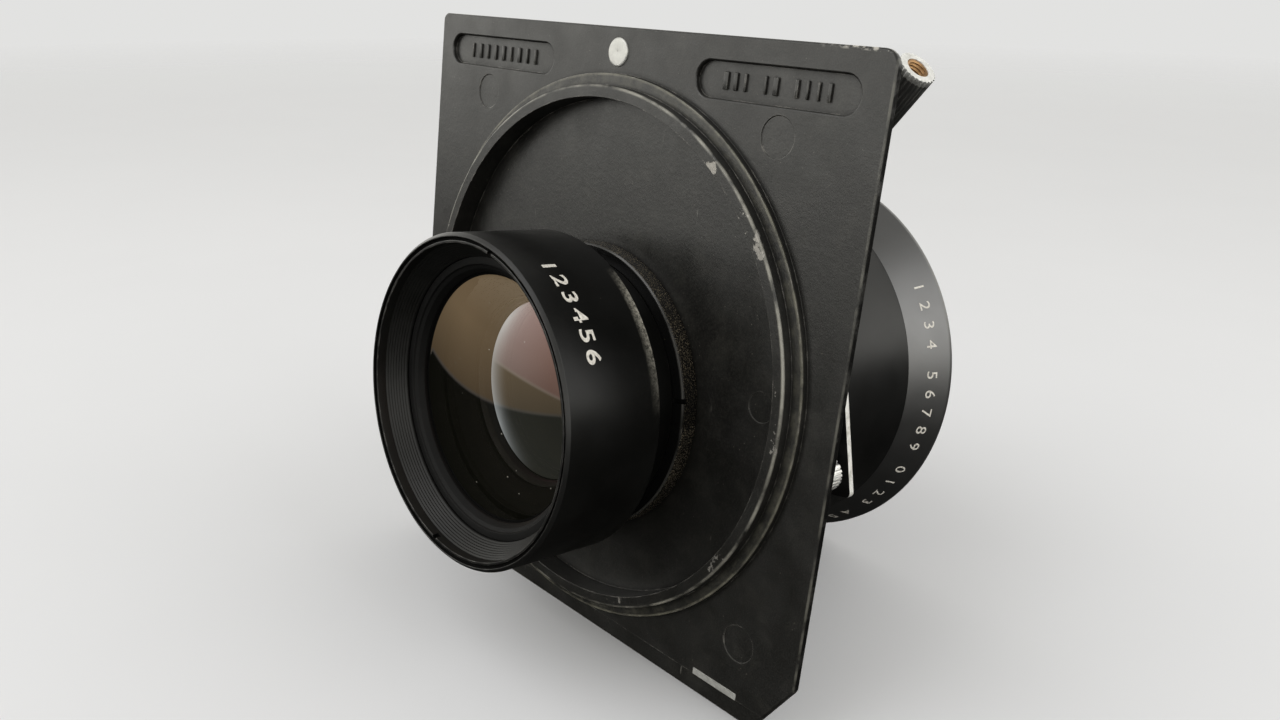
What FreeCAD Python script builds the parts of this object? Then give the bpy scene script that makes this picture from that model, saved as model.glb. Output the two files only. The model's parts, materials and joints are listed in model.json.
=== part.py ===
import FreeCAD, Part
import math
import os

# A large-format lens in its leaf shutter, mounted on a square view-camera lens board.
# Millimetres, +Z up. The lens looks along -Y, so the rear of the board faces +Y.
# The origin is the centre of the round light-trap ring, on the board's rear seating face.

Vector = FreeCAD.Vector
Y_AXIS = Vector(0, 1, 0)

# ---- driving dimensions: lens board ----
BOARD_WIDTH = 158.0
BOARD_TOP = 81.4
BOARD_BOTTOM = BOARD_TOP - BOARD_WIDTH
BOARD_PLATE = 2.5
BOARD_PAD_FRONT = -4.2
BOARD_PAD_RADIUS = 67.0
LIP_TOP = -70.9
LIP_SETBACK = 1.6
CORNER_CUT_X = 11.4
CORNER_CUT_Z = 17.0
CORNER_RADIUS_WORN = 4.0
CORNER_RADIUS_SHARP = 2.0
EDGE_CHAMFER = 0.4
FRONT_EDGE_CHAMFER = 1.1
TRAP_OUTER_RADIUS = 70.3
TRAP_STEP_HEIGHT = 1.8
TRAP_WALL_OUTER_RADIUS = 67.4
TRAP_WALL_INNER_RADIUS = 64.4
TRAP_WALL_HEIGHT = 4.7
TRAP_CHAMFER = 0.35
DISC_RECESS = 1.7
SHUTTER_HOLE_RADIUS = 32.5
PILL_DEPTH = 1.3
PILL_EDGE_ROUND = 0.45
PILLS = [(49.9, 71.9, 46.7, 7.9), (-48.5, 71.7, 45.8, 8.2)]  # centre x, centre z, length, height
DOT = {"x": 1.4, "z": 75.4, "radius": 3.45, "depth": 1.0, "height": 0.5, "round": 0.35}
STRIP = {"x": (-62.7, -48.5), "z": (LIP_TOP, -69.2), "depth": 0.8, "height": 0.1}
EJECTOR_DEPTH = 0.25
EJECTOR_MARKS = [(54.2, 61.3, 4.6), (-51.7, 61.3, 4.6), (-61.1, -56.4, 4.6)]  # x, z, radius
DISC_EJECTOR_MARK = (-56.4, 1.3, 3.6)

# ---- driving dimensions: optical axis and outer shapes ----
AXIS_Z = -9.2
HOUSING_RADIUS = 51.0
HOUSING_WALL = 2.5
HOUSING_INNER = HOUSING_RADIUS - HOUSING_WALL
HOUSING_BACK = 2.5
CELL_THREAD_RADIUS = 29.0
THREAD_CLEARANCE = 0.05
MOUNT_TUBE_RADIUS = 31.0
MOUNT_TUBE_END = 3.3
COVER_REAR = -31.5
COVER_FRONT = -33.0
FRONT_TUBE_END = -38.5
FRONT_TUBE_START = -20.0
SPEED_RING_PILOT = 34.0
SPEED_RING_REAR = -33.2
SPEED_RING_FRONT = -37.2
SPEED_RING_RADIUS = 50.8
RUNNING_GAP = 0.06
SPANNER_RING_RADIUS = 37.5
SPANNER_RING_TOP = 3.1
SPANNER_SLOT_DEPTH = 1.4
SPANNER_SLOT_HALF_WIDTH = 1.0
SPANNER_SLOT_ANGLES = (170.0, 350.0)
RETAINER = (-38.3, -37.6)
RETAINER_RADIUS = 38.5
RETAINER_SCREW_CIRCLE = 32.6
RETAINER_SCREW_RADIUS = 0.8
RETAINER_SCREW_ANGLES = (30.0, 150.0, 270.0)
GRIP_GROUPS = 6
GRIP_GROOVES = 9
GRIP_PITCH = 2.6
GRIP_GROOVE_RADIUS = 0.9

# ---- driving dimensions: lens cells and glass ----
REAR_CELL_RADIUS = 40.8
REAR_CELL_START = 14.2
REAR_CELL_RIM = 41.3
REAR_THREAD_RADIUS = 38.3
REAR_THREAD_END = 34.9
REAR_NECK_RADIUS = 34.0
REAR_SHOULDER = (34.85, 34.3)
REAR_NOTCH_ANGLES = (101.0, 281.0)
REAR_NOTCH_HALF_WIDTH = 0.8
FRONT_BARREL_RADIUS = 50.2
FRONT_CONE_START = -73.6
FRONT_RIM_RADIUS = 56.0
FRONT_RIM = -87.5
FRONT_THREAD_RADIUS = 52.4
FRONT_THREAD_END = -82.2
# each element: edge radius, radius where its polished faces start, front and rear edge heights, and how far
# the middle of each face stands out beyond its edge (negative where the face is hollow)
REAR_OUTER_GLASS = (32.4, 30.3, 24.5, 30.2, -1.8, 2.6)
REAR_INNER_GLASS = (24.4, 22.9, 10.0, 15.4, 1.8, 1.4)
FRONT_OUTER_GLASS = (48.2, 46.5, -79.4, -65.0, 2.4, -4.0)
FRONT_INNER_GLASS = (30.0, 26.9, -48.6, -42.0, -2.4, 1.6)
GLASS_FIT = 0.05

# ---- driving dimensions: depth-of-field scale plate and its posts ----
UPPER_POST = (53.1, 165.5)  # radius and angle about the optical axis
LOWER_POST = (52.8, 197.2)
POST_RADIUS = 1.6
POST_FOOT = (-29.0, -27.0)
POST_FOOT_HALF_WIDTH = 1.1
PLATE_Y = (-32.1, -30.5)
PLATE_TOP = (-58.5, 11.6)  # outer corners, relative to the optical axis
PLATE_BOTTOM = (-65.4, -14.7)
PLATE_CORNER_RADIUS = 1.4

# ---- driving dimensions: iris and shutter leaves ----
CLEAR_RADIUS = 21.5
STUD_RADIUS = 0.9
STUD_GAP = 0.06
IRIS_COUNT = 7
IRIS_INNER = 21.7
IRIS_OUTER = 41.0
IRIS_PIVOT = 43.0
IRIS_SPAN = 80.0
IRIS_DRIVE_ANGLE = -6.2
IRIS_RATIO = -1.5
IRIS_LEVER_OPEN = 1.5
IRIS_LEVER_CLOSED = -15.5
LEAF_COUNT = 5
LEAF_INNER = 21.7
LEAF_OUTER = 41.0
LEAF_PIVOT = 43.0
LEAF_SPAN = 84.0
LEAF_DRIVE_ANGLE = -6.2
LEAF_TURN = 31.0
LEAF_RING_TURN = 22.0
LEAF_RATIO = -LEAF_TURN / LEAF_RING_TURN
IRIS_REST_TURN = -IRIS_RATIO * IRIS_LEVER_OPEN
BLADE_THICKNESS = 0.10
BLADE_PITCH = 0.15

# ---- stack inside the housing, from the back wall forwards ----
HOUSING_FLOOR = BOARD_PAD_FRONT - HOUSING_BACK
IRIS_BASE = (HOUSING_FLOOR - 1.5, HOUSING_FLOOR)
IRIS_FIRST_LAYER = IRIS_BASE[0] - 0.10
IRIS_RING = (-10.6, -9.4)
LEAF_BASE = (-12.25, -10.75)
LEAF_FIRST_LAYER = LEAF_BASE[0] - 0.10
LEAF_RING = (-14.4, -13.2)
MECHANISM_PLATE = (-16.1, -14.6)
RELEASE_PAD = (-22.8, -20.2)
RELEASE_ARM = (-25.6, -24.2)
COCKING_RING = (-29.7, -28.2)

# ---- controls, as angles in the XZ plane about the optical axis, +X = 0, +Z = 90 ----
APERTURE_LEVER_ANGLE = 189.0
APERTURE_TAB_RADIUS = 60.0
APERTURE_TAB_ROUND = 4.4
APERTURE_TAB = (-28.1, -24.6)
APERTURE_TAB_RIDGES = 9
APERTURE_TAB_PITCH = 0.95
APERTURE_TAB_GROOVE = {"depth": 0.35, "half_width": 0.22}
APERTURE_LEG = (52.2, 55.2)
PREVIEW_LEVER_ANGLE = 62.0
PREVIEW_TAB_RADIUS = 58.5
COCKING_LEVER_ANGLE = 20.0
COCKING_TURN = 40.0
COCKING_TAB_RADIUS = 61.0
SLOT_INNER = 45.0  # lever slots run through the housing wall between these radii
SLOT_OUTER = 53.0
SYNC_ANGLE = 262.0
SYNC_Y = -20.0
SYNC_RADIUS = 3.0
SYNC_BORE_RADIUS = 2.1
SYNC_PIN_RADIUS = 0.6
SYNC_START = 49.0
SYNC_END = 57.0

# ---- cable release: a straight line that leaves the optical axis and leans back towards the board;
# the start and end values are distances along it from the axis ----
RELEASE_ANGLE = 131.0
RELEASE_LEAN = 8.0
RELEASE_AXIS_Y = -27.3
RELEASE_TIP = 44.0
RELEASE_TIP_GAP = 0.5
RELEASE_PAD_RADIUS = 1.5
RELEASE_LEVER_ARM = 14.0
RELEASE_LEVER_WINDOW = (107.0, 121.5)  # angles about the optical axis
BOSS = (47.0, 55.0)
BOSS_RADIUS = 4.6
SOCKET = (49.5, 58.0)
SOCKET_RADIUS = 3.0
SPIGOT_RADIUS = 1.5
TUBE_END = 106.0
TUBE_RADIUS = 2.6
SLEEVE = (103.4, 116.0)
SLEEVE_RADIUS = 4.2
KNURL_COUNT = 26
KNURL_RADIUS = 0.42
KNURL_OFFSET = 0.12
RELEASE_END = 117.4
BUSH_START = 109.2
BUSH_RADIUS = 2.5
BUSH_BORE_RADIUS = 1.9
PLUNGER_RADIUS = 1.0
PLUNGER_HEAD = (106.7, 108.0)
PLUNGER_HEAD_RADIUS = 1.7
HEAD_BORE_START = 100.0
HEAD_BORE_RADIUS = 1.9
LEVER_PIVOT_RADIUS = 1.2


# ---------------------------------------------------------------- helpers

def at(x, y, z):
    """A point given relative to the optical axis."""
    return Vector(x, y, z + AXIS_Z)


def polar(radius, degrees, y):
    angle = math.radians(degrees)
    return at(radius * math.cos(angle), y, radius * math.sin(angle))


def rod(radius, y_front, y_rear, x=0.0, z=AXIS_Z):
    return Part.makeCylinder(radius, y_rear - y_front, Vector(x, y_front, z), Y_AXIS)


def ring(outer, inner, y_front, y_rear):
    extra = 1.0
    hole = rod(inner, y_front - extra, y_rear + extra)
    return rod(outer, y_front, y_rear).cut(hole)


def turned(points):
    """A solid of revolution about the optical axis from a closed (radius, y) outline."""
    corners = [at(radius, y, 0) for radius, y in points]
    wire = Part.makePolygon(corners + corners[:1])
    return Part.Face(wire).revolve(at(0, 0, 0), Y_AXIS, 360)


def block(x0, x1, y0, y1, z0, z1):
    return Part.makeBox(x1 - x0, y1 - y0, z1 - z0, Vector(x0, y0, z0))


def slab(corners, y_front, y_rear):
    """A flat plate between two y values from (x, z) corners in board coordinates."""
    points = [Vector(x, y_front, z) for x, z in corners]
    face = Part.Face(Part.makePolygon(points + points[:1]))
    return face.extrude(Vector(0, y_rear - y_front, 0))


def sector(inner, outer, start, end, y_front, y_rear):
    """A plate bounded by two arcs about the optical axis and two radial edges."""
    middle = (start + end) / 2
    edges = [
        Part.Arc(polar(outer, start, y_front), polar(outer, middle, y_front),
                 polar(outer, end, y_front)).toShape(),
        Part.makeLine(polar(outer, end, y_front), polar(inner, end, y_front)),
        Part.Arc(polar(inner, end, y_front), polar(inner, middle, y_front),
                 polar(inner, start, y_front)).toShape(),
        Part.makeLine(polar(inner, start, y_front), polar(outer, start, y_front)),
    ]
    face = Part.Face(Part.Wire(edges))
    return face.extrude(Vector(0, y_rear - y_front, 0))


def turn_about_axis(shape, degrees, point=None):
    """Turns a copy in the XZ plane, anticlockwise seen with +X right and +Z up."""
    copy = shape.copy()
    copy.rotate(point or at(0, 0, 0), Vector(0, -1, 0), degrees)
    return copy


def radial_rod(radius, start, end, degrees, y):
    base = polar(start, degrees, y)
    return Part.makeCylinder(radius, end - start, base, polar(end, degrees, y) - base)


def fuse(*shapes):
    result = shapes[0].fuse(list(shapes[1:]))
    return result.removeSplitter()


def cut_all(shape, tools):
    return shape.cut(list(tools))


def save(name, shape):
    shape.exportStep(os.path.join("parts", name + ".step"))
    box = shape.BoundBox
    print(name, len(shape.Solids), shape.isValid(), round(shape.Volume, 1),
          round(box.YMin, 2), round(box.YMax, 2))


# ---------------------------------------------------------------- lens board

def board_outline(y_front, y_rear):
    half = BOARD_WIDTH / 2
    corners = [
        (-half, BOARD_TOP), (half, BOARD_TOP), (half, BOARD_BOTTOM + CORNER_CUT_Z),
        (half - CORNER_CUT_X, BOARD_BOTTOM), (CORNER_CUT_X - half, BOARD_BOTTOM),
        (-half, BOARD_BOTTOM + CORNER_CUT_Z),
    ]
    plate = slab(corners, y_front, y_rear)
    for side, radius in ((-1, CORNER_RADIUS_WORN), (1, CORNER_RADIUS_SHARP)):
        edges = [e for e in plate.Edges if is_corner_edge(e, side * half)]
        plate = plate.makeFillet(radius, edges)
    return plate


def is_corner_edge(edge, x):
    ends = [v.Point for v in edge.Vertexes]
    return len(ends) == 2 and all(abs(p.x - x) < 0.01 and abs(p.z - BOARD_TOP) < 0.01 for p in ends)


def is_upper_front_edge(edge):
    """The front edges along the top and both sides, above the corner cuts."""
    lowest = BOARD_BOTTOM + CORNER_CUT_Z - 0.01
    return all(abs(v.Y + BOARD_PLATE) < 0.01 and v.Z > lowest for v in edge.Vertexes)


def rim_edges(shape, y):
    """The full-circle edges of a round shape at one height."""
    return [e for e in shape.Edges if len(e.Vertexes) == 1 and abs(e.Vertexes[0].Y - y) < 0.01]


def pill_recess(x_centre, z_centre, length, height, depth):
    radius = height / 2
    reach = length / 2 - radius
    middle = block(x_centre - reach, x_centre + reach, -depth, 1, z_centre - radius, z_centre + radius)
    ends = [rod(radius, -depth, 1, x_centre + side * reach, z_centre) for side in (-1, 1)]
    return fuse(middle, *ends)


def lens_board():
    plate = board_outline(-BOARD_PLATE, 0)
    rear_edges = [e for e in plate.Edges if all(abs(v.Point.y) < 0.01 for v in e.Vertexes)]
    plate = plate.makeChamfer(EDGE_CHAMFER, rear_edges)
    front_edges = [e for e in plate.Edges if is_upper_front_edge(e)]
    plate = plate.makeChamfer(FRONT_EDGE_CHAMFER, front_edges)
    pad = rod(BOARD_PAD_RADIUS, BOARD_PAD_FRONT, -1.0, z=0)
    step = rod(TRAP_OUTER_RADIUS, -1.0, TRAP_STEP_HEIGHT, z=0)
    wall = rod(TRAP_WALL_OUTER_RADIUS, -1.0, TRAP_WALL_HEIGHT, z=0)
    wall = wall.makeChamfer(TRAP_CHAMFER, rim_edges(wall, TRAP_WALL_HEIGHT))
    board = fuse(plate, pad, step, wall)
    disc = rod(TRAP_WALL_INNER_RADIUS, -DISC_RECESS, 10, z=0)
    hole = rod(SHUTTER_HOLE_RADIUS, -10, 10)
    lip = block(-BOARD_WIDTH, BOARD_WIDTH, -LIP_SETBACK, 5, BOARD_BOTTOM - 5, LIP_TOP)
    pills = [pill_recess(*pill, PILL_DEPTH) for pill in PILLS]
    marks = [rod(r, -EJECTOR_DEPTH, 1, x, z) for x, z, r in EJECTOR_MARKS]
    x, z, r = DISC_EJECTOR_MARK
    marks.append(rod(r, -DISC_RECESS - EJECTOR_DEPTH, 0, x, z))
    dot_hole = rod(DOT["radius"], -DOT["depth"], 1, DOT["x"], DOT["z"])
    strip_pocket = block(*STRIP["x"], -STRIP["depth"], 1, *STRIP["z"])
    board = cut_all(board, [disc, hole, lip, dot_hole, strip_pocket] + pills + marks)
    pill_edges = [e for e in board.Edges if is_pill_edge(e)]
    return board.makeFillet(PILL_EDGE_ROUND, pill_edges)


def is_pill_edge(edge):
    """The edges where the two long recesses break through the rear face."""
    for x, z, length, height in PILLS:
        reach_x = length / 2 + 0.1
        reach_z = height / 2 + 0.1
        if all(abs(v.Y) < 0.01 and abs(v.X - x) < reach_x and abs(v.Z - z) < reach_z for v in edge.Vertexes):
            return True
    return False


def index_dot():
    dot = rod(DOT["radius"], -DOT["depth"], DOT["height"], DOT["x"], DOT["z"])
    return dot.makeFillet(DOT["round"], rim_edges(dot, DOT["height"]))


def index_strip():
    return block(*STRIP["x"], -STRIP["depth"], STRIP["height"], *STRIP["z"])


def retaining_ring():
    body = ring(SPANNER_RING_RADIUS, MOUNT_TUBE_RADIUS + THREAD_CLEARANCE, -DISC_RECESS, SPANNER_RING_TOP)
    half = SPANNER_SLOT_HALF_WIDTH
    floor = SPANNER_RING_TOP - SPANNER_SLOT_DEPTH
    slot = block(30.0, 40.0, floor, floor + 5.0, AXIS_Z - half, AXIS_Z + half)
    slots = [turn_about_axis(slot, angle) for angle in SPANNER_SLOT_ANGLES]
    return cut_all(body, slots)


# ---------------------------------------------------------------- shutter housing and covers

def release_point(distance):
    """A point on the cable release line, at a distance from the optical axis."""
    angle = math.radians(RELEASE_ANGLE)
    lean = math.radians(RELEASE_LEAN)
    reach = distance * math.cos(lean)
    return at(reach * math.cos(angle), RELEASE_AXIS_Y + distance * math.sin(lean), reach * math.sin(angle))


def release_side():
    """The direction at a right angle to the cable release line that is parallel to the board."""
    angle = math.radians(RELEASE_ANGLE)
    return Vector(math.sin(angle), 0, -math.cos(angle))


def release_rod(radius, start, end):
    """A cylinder along the cable release line, between two distances from the optical axis."""
    base = release_point(start)
    return Part.makeCylinder(radius, end - start, base, release_point(end) - base)


def plate_posts():
    shapes = []
    for radius, angle in (UPPER_POST, LOWER_POST):
        centre = polar(radius, angle, 0)
        root = polar(HOUSING_INNER + 0.5, angle, 0)
        post = rod(POST_RADIUS, PLATE_Y[1], POST_FOOT[1] + 1.0, centre.x, centre.z)
        foot = link((root.x, root.z), (centre.x, centre.z), POST_FOOT_HALF_WIDTH, POST_FOOT)
        shapes += [post, foot]
    return shapes


def shutter_housing():
    outside = rod(HOUSING_RADIUS, COVER_REAR, BOARD_PAD_FRONT)
    tube = rod(MOUNT_TUBE_RADIUS, BOARD_PAD_FRONT - 1, MOUNT_TUBE_END)
    boss = release_rod(BOSS_RADIUS, *BOSS)
    sync_boss = radial_rod(BOSS_RADIUS, HOUSING_INNER, 53.0, SYNC_ANGLE, SYNC_Y)
    body = fuse(outside, tube, boss, sync_boss, *plate_posts())
    hollow = rod(HOUSING_INNER, COVER_REAR - 1, HOUSING_FLOOR)
    thread = rod(CELL_THREAD_RADIUS + THREAD_CLEARANCE, -10, 10)
    slots = [
        lever_slot(APERTURE_LEVER_ANGLE - 20.5, APERTURE_LEVER_ANGLE + 6.0, IRIS_RING),
        lever_slot(PREVIEW_LEVER_ANGLE - 5.0, PREVIEW_LEVER_ANGLE + LEAF_RING_TURN + 5.0, LEAF_RING),
        lever_slot(COCKING_LEVER_ANGLE - 6.0, COCKING_LEVER_ANGLE + COCKING_TURN + 6.0, COCKING_RING),
        lever_slot(*RELEASE_LEVER_WINDOW, RELEASE_ARM),
    ]
    bores = [
        release_rod(SOCKET_RADIUS, SOCKET[0], BOSS[1] + 5.0),
        release_rod(PLUNGER_RADIUS + 0.3, BOSS[0] - 5.0, BOSS[1]),
        radial_rod(SYNC_RADIUS, 40.0, 60.0, SYNC_ANGLE, SYNC_Y),
    ]
    return cut_all(body, [hollow, thread] + slots + bores)


def lever_slot(start, end, lever_span):
    """An arc-shaped window in the housing wall for a lever that lies between two y values."""
    gap = 0.2
    return sector(SLOT_INNER, SLOT_OUTER, start, end, lever_span[0] - gap, lever_span[1] + gap)


def front_cover():
    plate = ring(HOUSING_RADIUS, CELL_THREAD_RADIUS + THREAD_CLEARANCE, COVER_FRONT, COVER_REAR)
    pilot = ring(SPEED_RING_PILOT, CELL_THREAD_RADIUS + THREAD_CLEARANCE, RETAINER[1], COVER_FRONT)
    tube = ring(MOUNT_TUBE_RADIUS, CELL_THREAD_RADIUS + THREAD_CLEARANCE, FRONT_TUBE_END, FRONT_TUBE_START)
    body = fuse(plate, pilot, tube)
    return cut_all(body, retainer_screw_rods(RETAINER_SCREW_RADIUS, RETAINER[1], RETAINER[1] + 3.0))


def retainer_screw_rods(radius, y_front, y_rear):
    circle = RETAINER_SCREW_CIRCLE
    return [screw_hole(circle, angle, radius, y_front, y_rear) for angle in RETAINER_SCREW_ANGLES]


def screw_hole(radius, angle, hole_radius, y_front, y_rear):
    centre = polar(radius, angle, 0)
    return rod(hole_radius, y_front, y_rear, centre.x, centre.z)


def speed_ring_retainer():
    body = ring(RETAINER_RADIUS, MOUNT_TUBE_RADIUS + THREAD_CLEARANCE, *RETAINER)
    return cut_all(body, retainer_screw_rods(RETAINER_SCREW_RADIUS + 0.05, RETAINER[0] - 1, RETAINER[1] + 1))


def retainer_screws():
    return Part.makeCompound(retainer_screw_rods(RETAINER_SCREW_RADIUS, RETAINER[0] + 0.1, RETAINER[1] + 2.8))


def speed_ring():
    body = ring(SPEED_RING_RADIUS, SPEED_RING_PILOT + RUNNING_GAP, SPEED_RING_FRONT, SPEED_RING_REAR)
    groove_centre = SPEED_RING_RADIUS + GRIP_GROOVE_RADIUS / 2
    groove = rod(GRIP_GROOVE_RADIUS, SPEED_RING_FRONT - 1, SPEED_RING_REAR + 1, groove_centre, AXIS_Z)
    grooves = []
    for group in range(GRIP_GROUPS):
        for tooth in range(GRIP_GROOVES):
            grooves.append(turn_about_axis(groove, group * 360.0 / GRIP_GROUPS + tooth * GRIP_PITCH))
    return cut_all(body, grooves)


def scale_plate():
    inner_top = polar(HOUSING_RADIUS + 0.02, 160.0, 0)
    inner_bottom = polar(HOUSING_RADIUS + 0.02, 200.0, 0)
    corners = [
        (PLATE_TOP[0], PLATE_TOP[1] + AXIS_Z), (PLATE_BOTTOM[0], PLATE_BOTTOM[1] + AXIS_Z),
        (inner_bottom.x, inner_bottom.z), (-40.0, AXIS_Z), (inner_top.x, inner_top.z),
    ]
    plate = slab(corners, *PLATE_Y)
    outer = [e for e in plate.Edges if len(e.Vertexes) == 2
             and abs(e.Vertexes[0].Y - e.Vertexes[1].Y) > 0.5 and e.Vertexes[0].X < -57]
    plate = plate.makeFillet(PLATE_CORNER_RADIUS, outer)
    holes = [screw_hole(radius, angle, 0.75, -35, -29) for radius, angle in (UPPER_POST, LOWER_POST)]
    return cut_all(plate, [rod(HOUSING_RADIUS + 0.02, -40, -20)] + holes)


def scale_plate_screws():
    screws = []
    for radius, angle in (UPPER_POST, LOWER_POST):
        centre = polar(radius, angle, 0)
        shank = rod(0.7, PLATE_Y[0] - 0.3, PLATE_Y[1], centre.x, centre.z)
        head = rod(1.3, PLATE_Y[0] - 0.8, PLATE_Y[0], centre.x, centre.z)
        slot = block(centre.x - 2, centre.x + 2, PLATE_Y[0] - 1, PLATE_Y[0] - 0.5,
                     centre.z - 0.2, centre.z + 0.2)
        screws.append(fuse(shank, head).cut(slot))
    return Part.makeCompound(screws)


# ---------------------------------------------------------------- flash contact

def sync_socket():
    body = radial_rod(SYNC_RADIUS, SYNC_START, SYNC_END, SYNC_ANGLE, SYNC_Y)
    return body.cut(radial_rod(SYNC_BORE_RADIUS, SYNC_START - 1, SYNC_END + 1, SYNC_ANGLE, SYNC_Y))


def sync_insulator():
    body = radial_rod(SYNC_BORE_RADIUS, SYNC_START, SYNC_END - 3.0, SYNC_ANGLE, SYNC_Y)
    return body.cut(radial_rod(SYNC_PIN_RADIUS, SYNC_START - 1, SYNC_END + 1, SYNC_ANGLE, SYNC_Y))


def sync_contact():
    return radial_rod(SYNC_PIN_RADIUS, SYNC_START - 0.1, SYNC_END - 1.0, SYNC_ANGLE, SYNC_Y)


# ---------------------------------------------------------------- cable release

def release_socket():
    body = release_rod(SOCKET_RADIUS, SOCKET[0] + 0.2, SOCKET[1])
    return body.cut(release_rod(SPIGOT_RADIUS + RUNNING_GAP, SOCKET[0] - 1, SOCKET[1] + 1))


def extension_tube():
    spigot = release_rod(SPIGOT_RADIUS, SOCKET[0] + 2.0, SOCKET[1])
    body = fuse(release_rod(TUBE_RADIUS, SOCKET[1], TUBE_END), spigot)
    plunger_bore = release_rod(PLUNGER_RADIUS + RUNNING_GAP, SOCKET[0], TUBE_END + 1)
    head_bore = release_rod(HEAD_BORE_RADIUS, HEAD_BORE_START, TUBE_END + 1)
    return cut_all(body, [plunger_bore, head_bore])


def knurl_grooves():
    """Fine grooves along the outside of the finger grip, shared by its sleeve and end collar."""
    groove = release_rod(KNURL_RADIUS, SLEEVE[0] - 1, RELEASE_END + 1)
    groove.translate(release_side() * (SLEEVE_RADIUS + KNURL_OFFSET))
    centre = release_point(0)
    direction = release_point(1) - centre
    grooves = []
    for index in range(KNURL_COUNT):
        copy = groove.copy()
        copy.rotate(centre, direction, index * 360.0 / KNURL_COUNT)
        grooves.append(copy)
    return grooves


def extension_sleeve():
    body = release_rod(SLEEVE_RADIUS, *SLEEVE)
    bore = release_rod(TUBE_RADIUS + GLASS_FIT, SLEEVE[0] - 1, BUSH_START)
    seat = release_rod(BUSH_RADIUS, BUSH_START, SLEEVE[1] + 1)
    return cut_all(body, [bore, seat] + knurl_grooves())


def extension_bush():
    body = release_rod(BUSH_RADIUS, BUSH_START, RELEASE_END - 0.2)
    return body.cut(release_rod(BUSH_BORE_RADIUS, BUSH_START - 1, RELEASE_END + 1))


def extension_collar():
    body = release_rod(SLEEVE_RADIUS, SLEEVE[1], RELEASE_END)
    return cut_all(body, [release_rod(BUSH_RADIUS, BUSH_START, RELEASE_END + 1)] + knurl_grooves())


def release_plunger():
    return fuse(release_rod(PLUNGER_RADIUS, RELEASE_TIP, PLUNGER_HEAD[1]),
                release_rod(PLUNGER_HEAD_RADIUS, *PLUNGER_HEAD))


def release_lever():
    """The lever that the plunger pushes: its pad stands in line with the tip, its pivot to one side."""
    pad_centre = release_point(RELEASE_TIP - RELEASE_TIP_GAP - RELEASE_PAD_RADIUS)
    pivot = release_lever_pivot()
    hub = rod(3.0, -26.4, RELEASE_PAD[1], pivot.x, pivot.z)
    pad = rod(RELEASE_PAD_RADIUS, *RELEASE_PAD, pad_centre.x, pad_centre.z)
    arm = link((pivot.x, pivot.z), (pad_centre.x, pad_centre.z), 1.2, RELEASE_PAD)
    pivot_angle = math.degrees(math.atan2(pivot.z - AXIS_Z, pivot.x))
    tip = polar(58.0, pivot_angle, 0)
    outer = link((pivot.x, pivot.z), (tip.x, tip.z), 2.4, RELEASE_ARM)
    tab = rod(3.4, RELEASE_ARM[0] - 1.4, RELEASE_ARM[1], tip.x, tip.z)
    bore = rod(LEVER_PIVOT_RADIUS + RUNNING_GAP, -40, 0, pivot.x, pivot.z)
    return fuse(hub, pad, arm, outer, tab).cut(bore)


def release_lever_pivot():
    """The lever's pivot, beside its pad, so that the tip pushes at a right angle to the lever."""
    pad_centre = release_point(RELEASE_TIP - RELEASE_TIP_GAP - RELEASE_PAD_RADIUS)
    return pad_centre + release_side() * RELEASE_LEVER_ARM


def link(start, end, half_width, span):
    """A straight bar between two (x, z) points."""
    dx = end[0] - start[0]
    dz = end[1] - start[1]
    length = math.hypot(dx, dz)
    nx = -dz / length * half_width
    nz = dx / length * half_width
    corners = [
        (start[0] + nx, start[1] + nz), (end[0] + nx, end[1] + nz),
        (end[0] - nx, end[1] - nz), (start[0] - nx, start[1] - nz),
    ]
    return slab(corners, *span)


def mechanism_plate():
    plate = ring(HOUSING_INNER - 0.1, 24.5, *MECHANISM_PLATE)
    hub = ring(25.55, 24.5, MECHANISM_PLATE[1], LEAF_RING[1])
    pivot = release_lever_pivot()
    post = rod(LEVER_PIVOT_RADIUS, -27.0, MECHANISM_PLATE[1] - 0.5, pivot.x, pivot.z)
    return fuse(plate, hub, post)


def main_spring():
    """A torsion spring of round wire, wound round the front tube."""
    radius, pitch, turns = 33.4, 2.4, 3.5
    helix = Part.makeHelix(pitch, pitch * turns, radius)
    profile = Part.Wire([Part.makeCircle(0.5, Vector(radius, 0, 0), Y_AXIS)])
    coil = Part.Wire(helix).makePipeShell([profile], True, True)
    coil.rotate(Vector(0, 0, 0), Vector(1, 0, 0), 90)
    coil.translate(at(0, -17.2, 0))
    return coil


def cocking_ring():
    body = ring(46.0, MOUNT_TUBE_RADIUS + RUNNING_GAP, *COCKING_RING)
    angle = COCKING_LEVER_ANGLE
    arm = sector(44.0, COCKING_TAB_RADIUS - 2.0, angle - 3.0, angle + 3.0, *COCKING_RING)
    return fuse(body, arm)


def cocking_tab():
    centre = polar(COCKING_TAB_RADIUS, COCKING_LEVER_ANGLE, 0)
    tab = rod(4.6, COCKING_RING[0] - 2.0, COCKING_RING[1] + 0.8, centre.x, centre.z)
    angle = COCKING_LEVER_ANGLE
    slot = sector(50.0, COCKING_TAB_RADIUS - 2.0, angle - 3.0, angle + 3.0, *COCKING_RING)
    return tab.cut(slot)


# ---------------------------------------------------------------- iris and shutter leaves

def stud_position(pivot_radius, drive_angle, turned_in):
    """Where the driving stud stands when its blade has turned inwards, for the blade at angle 0."""
    angle = math.radians(drive_angle)
    dx = pivot_radius * math.cos(angle) - pivot_radius
    dz = pivot_radius * math.sin(angle)
    turn = math.radians(turned_in)
    x = pivot_radius + dx * math.cos(turn) - dz * math.sin(turn)
    z = dx * math.sin(turn) + dz * math.cos(turn)
    return x, z


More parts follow.
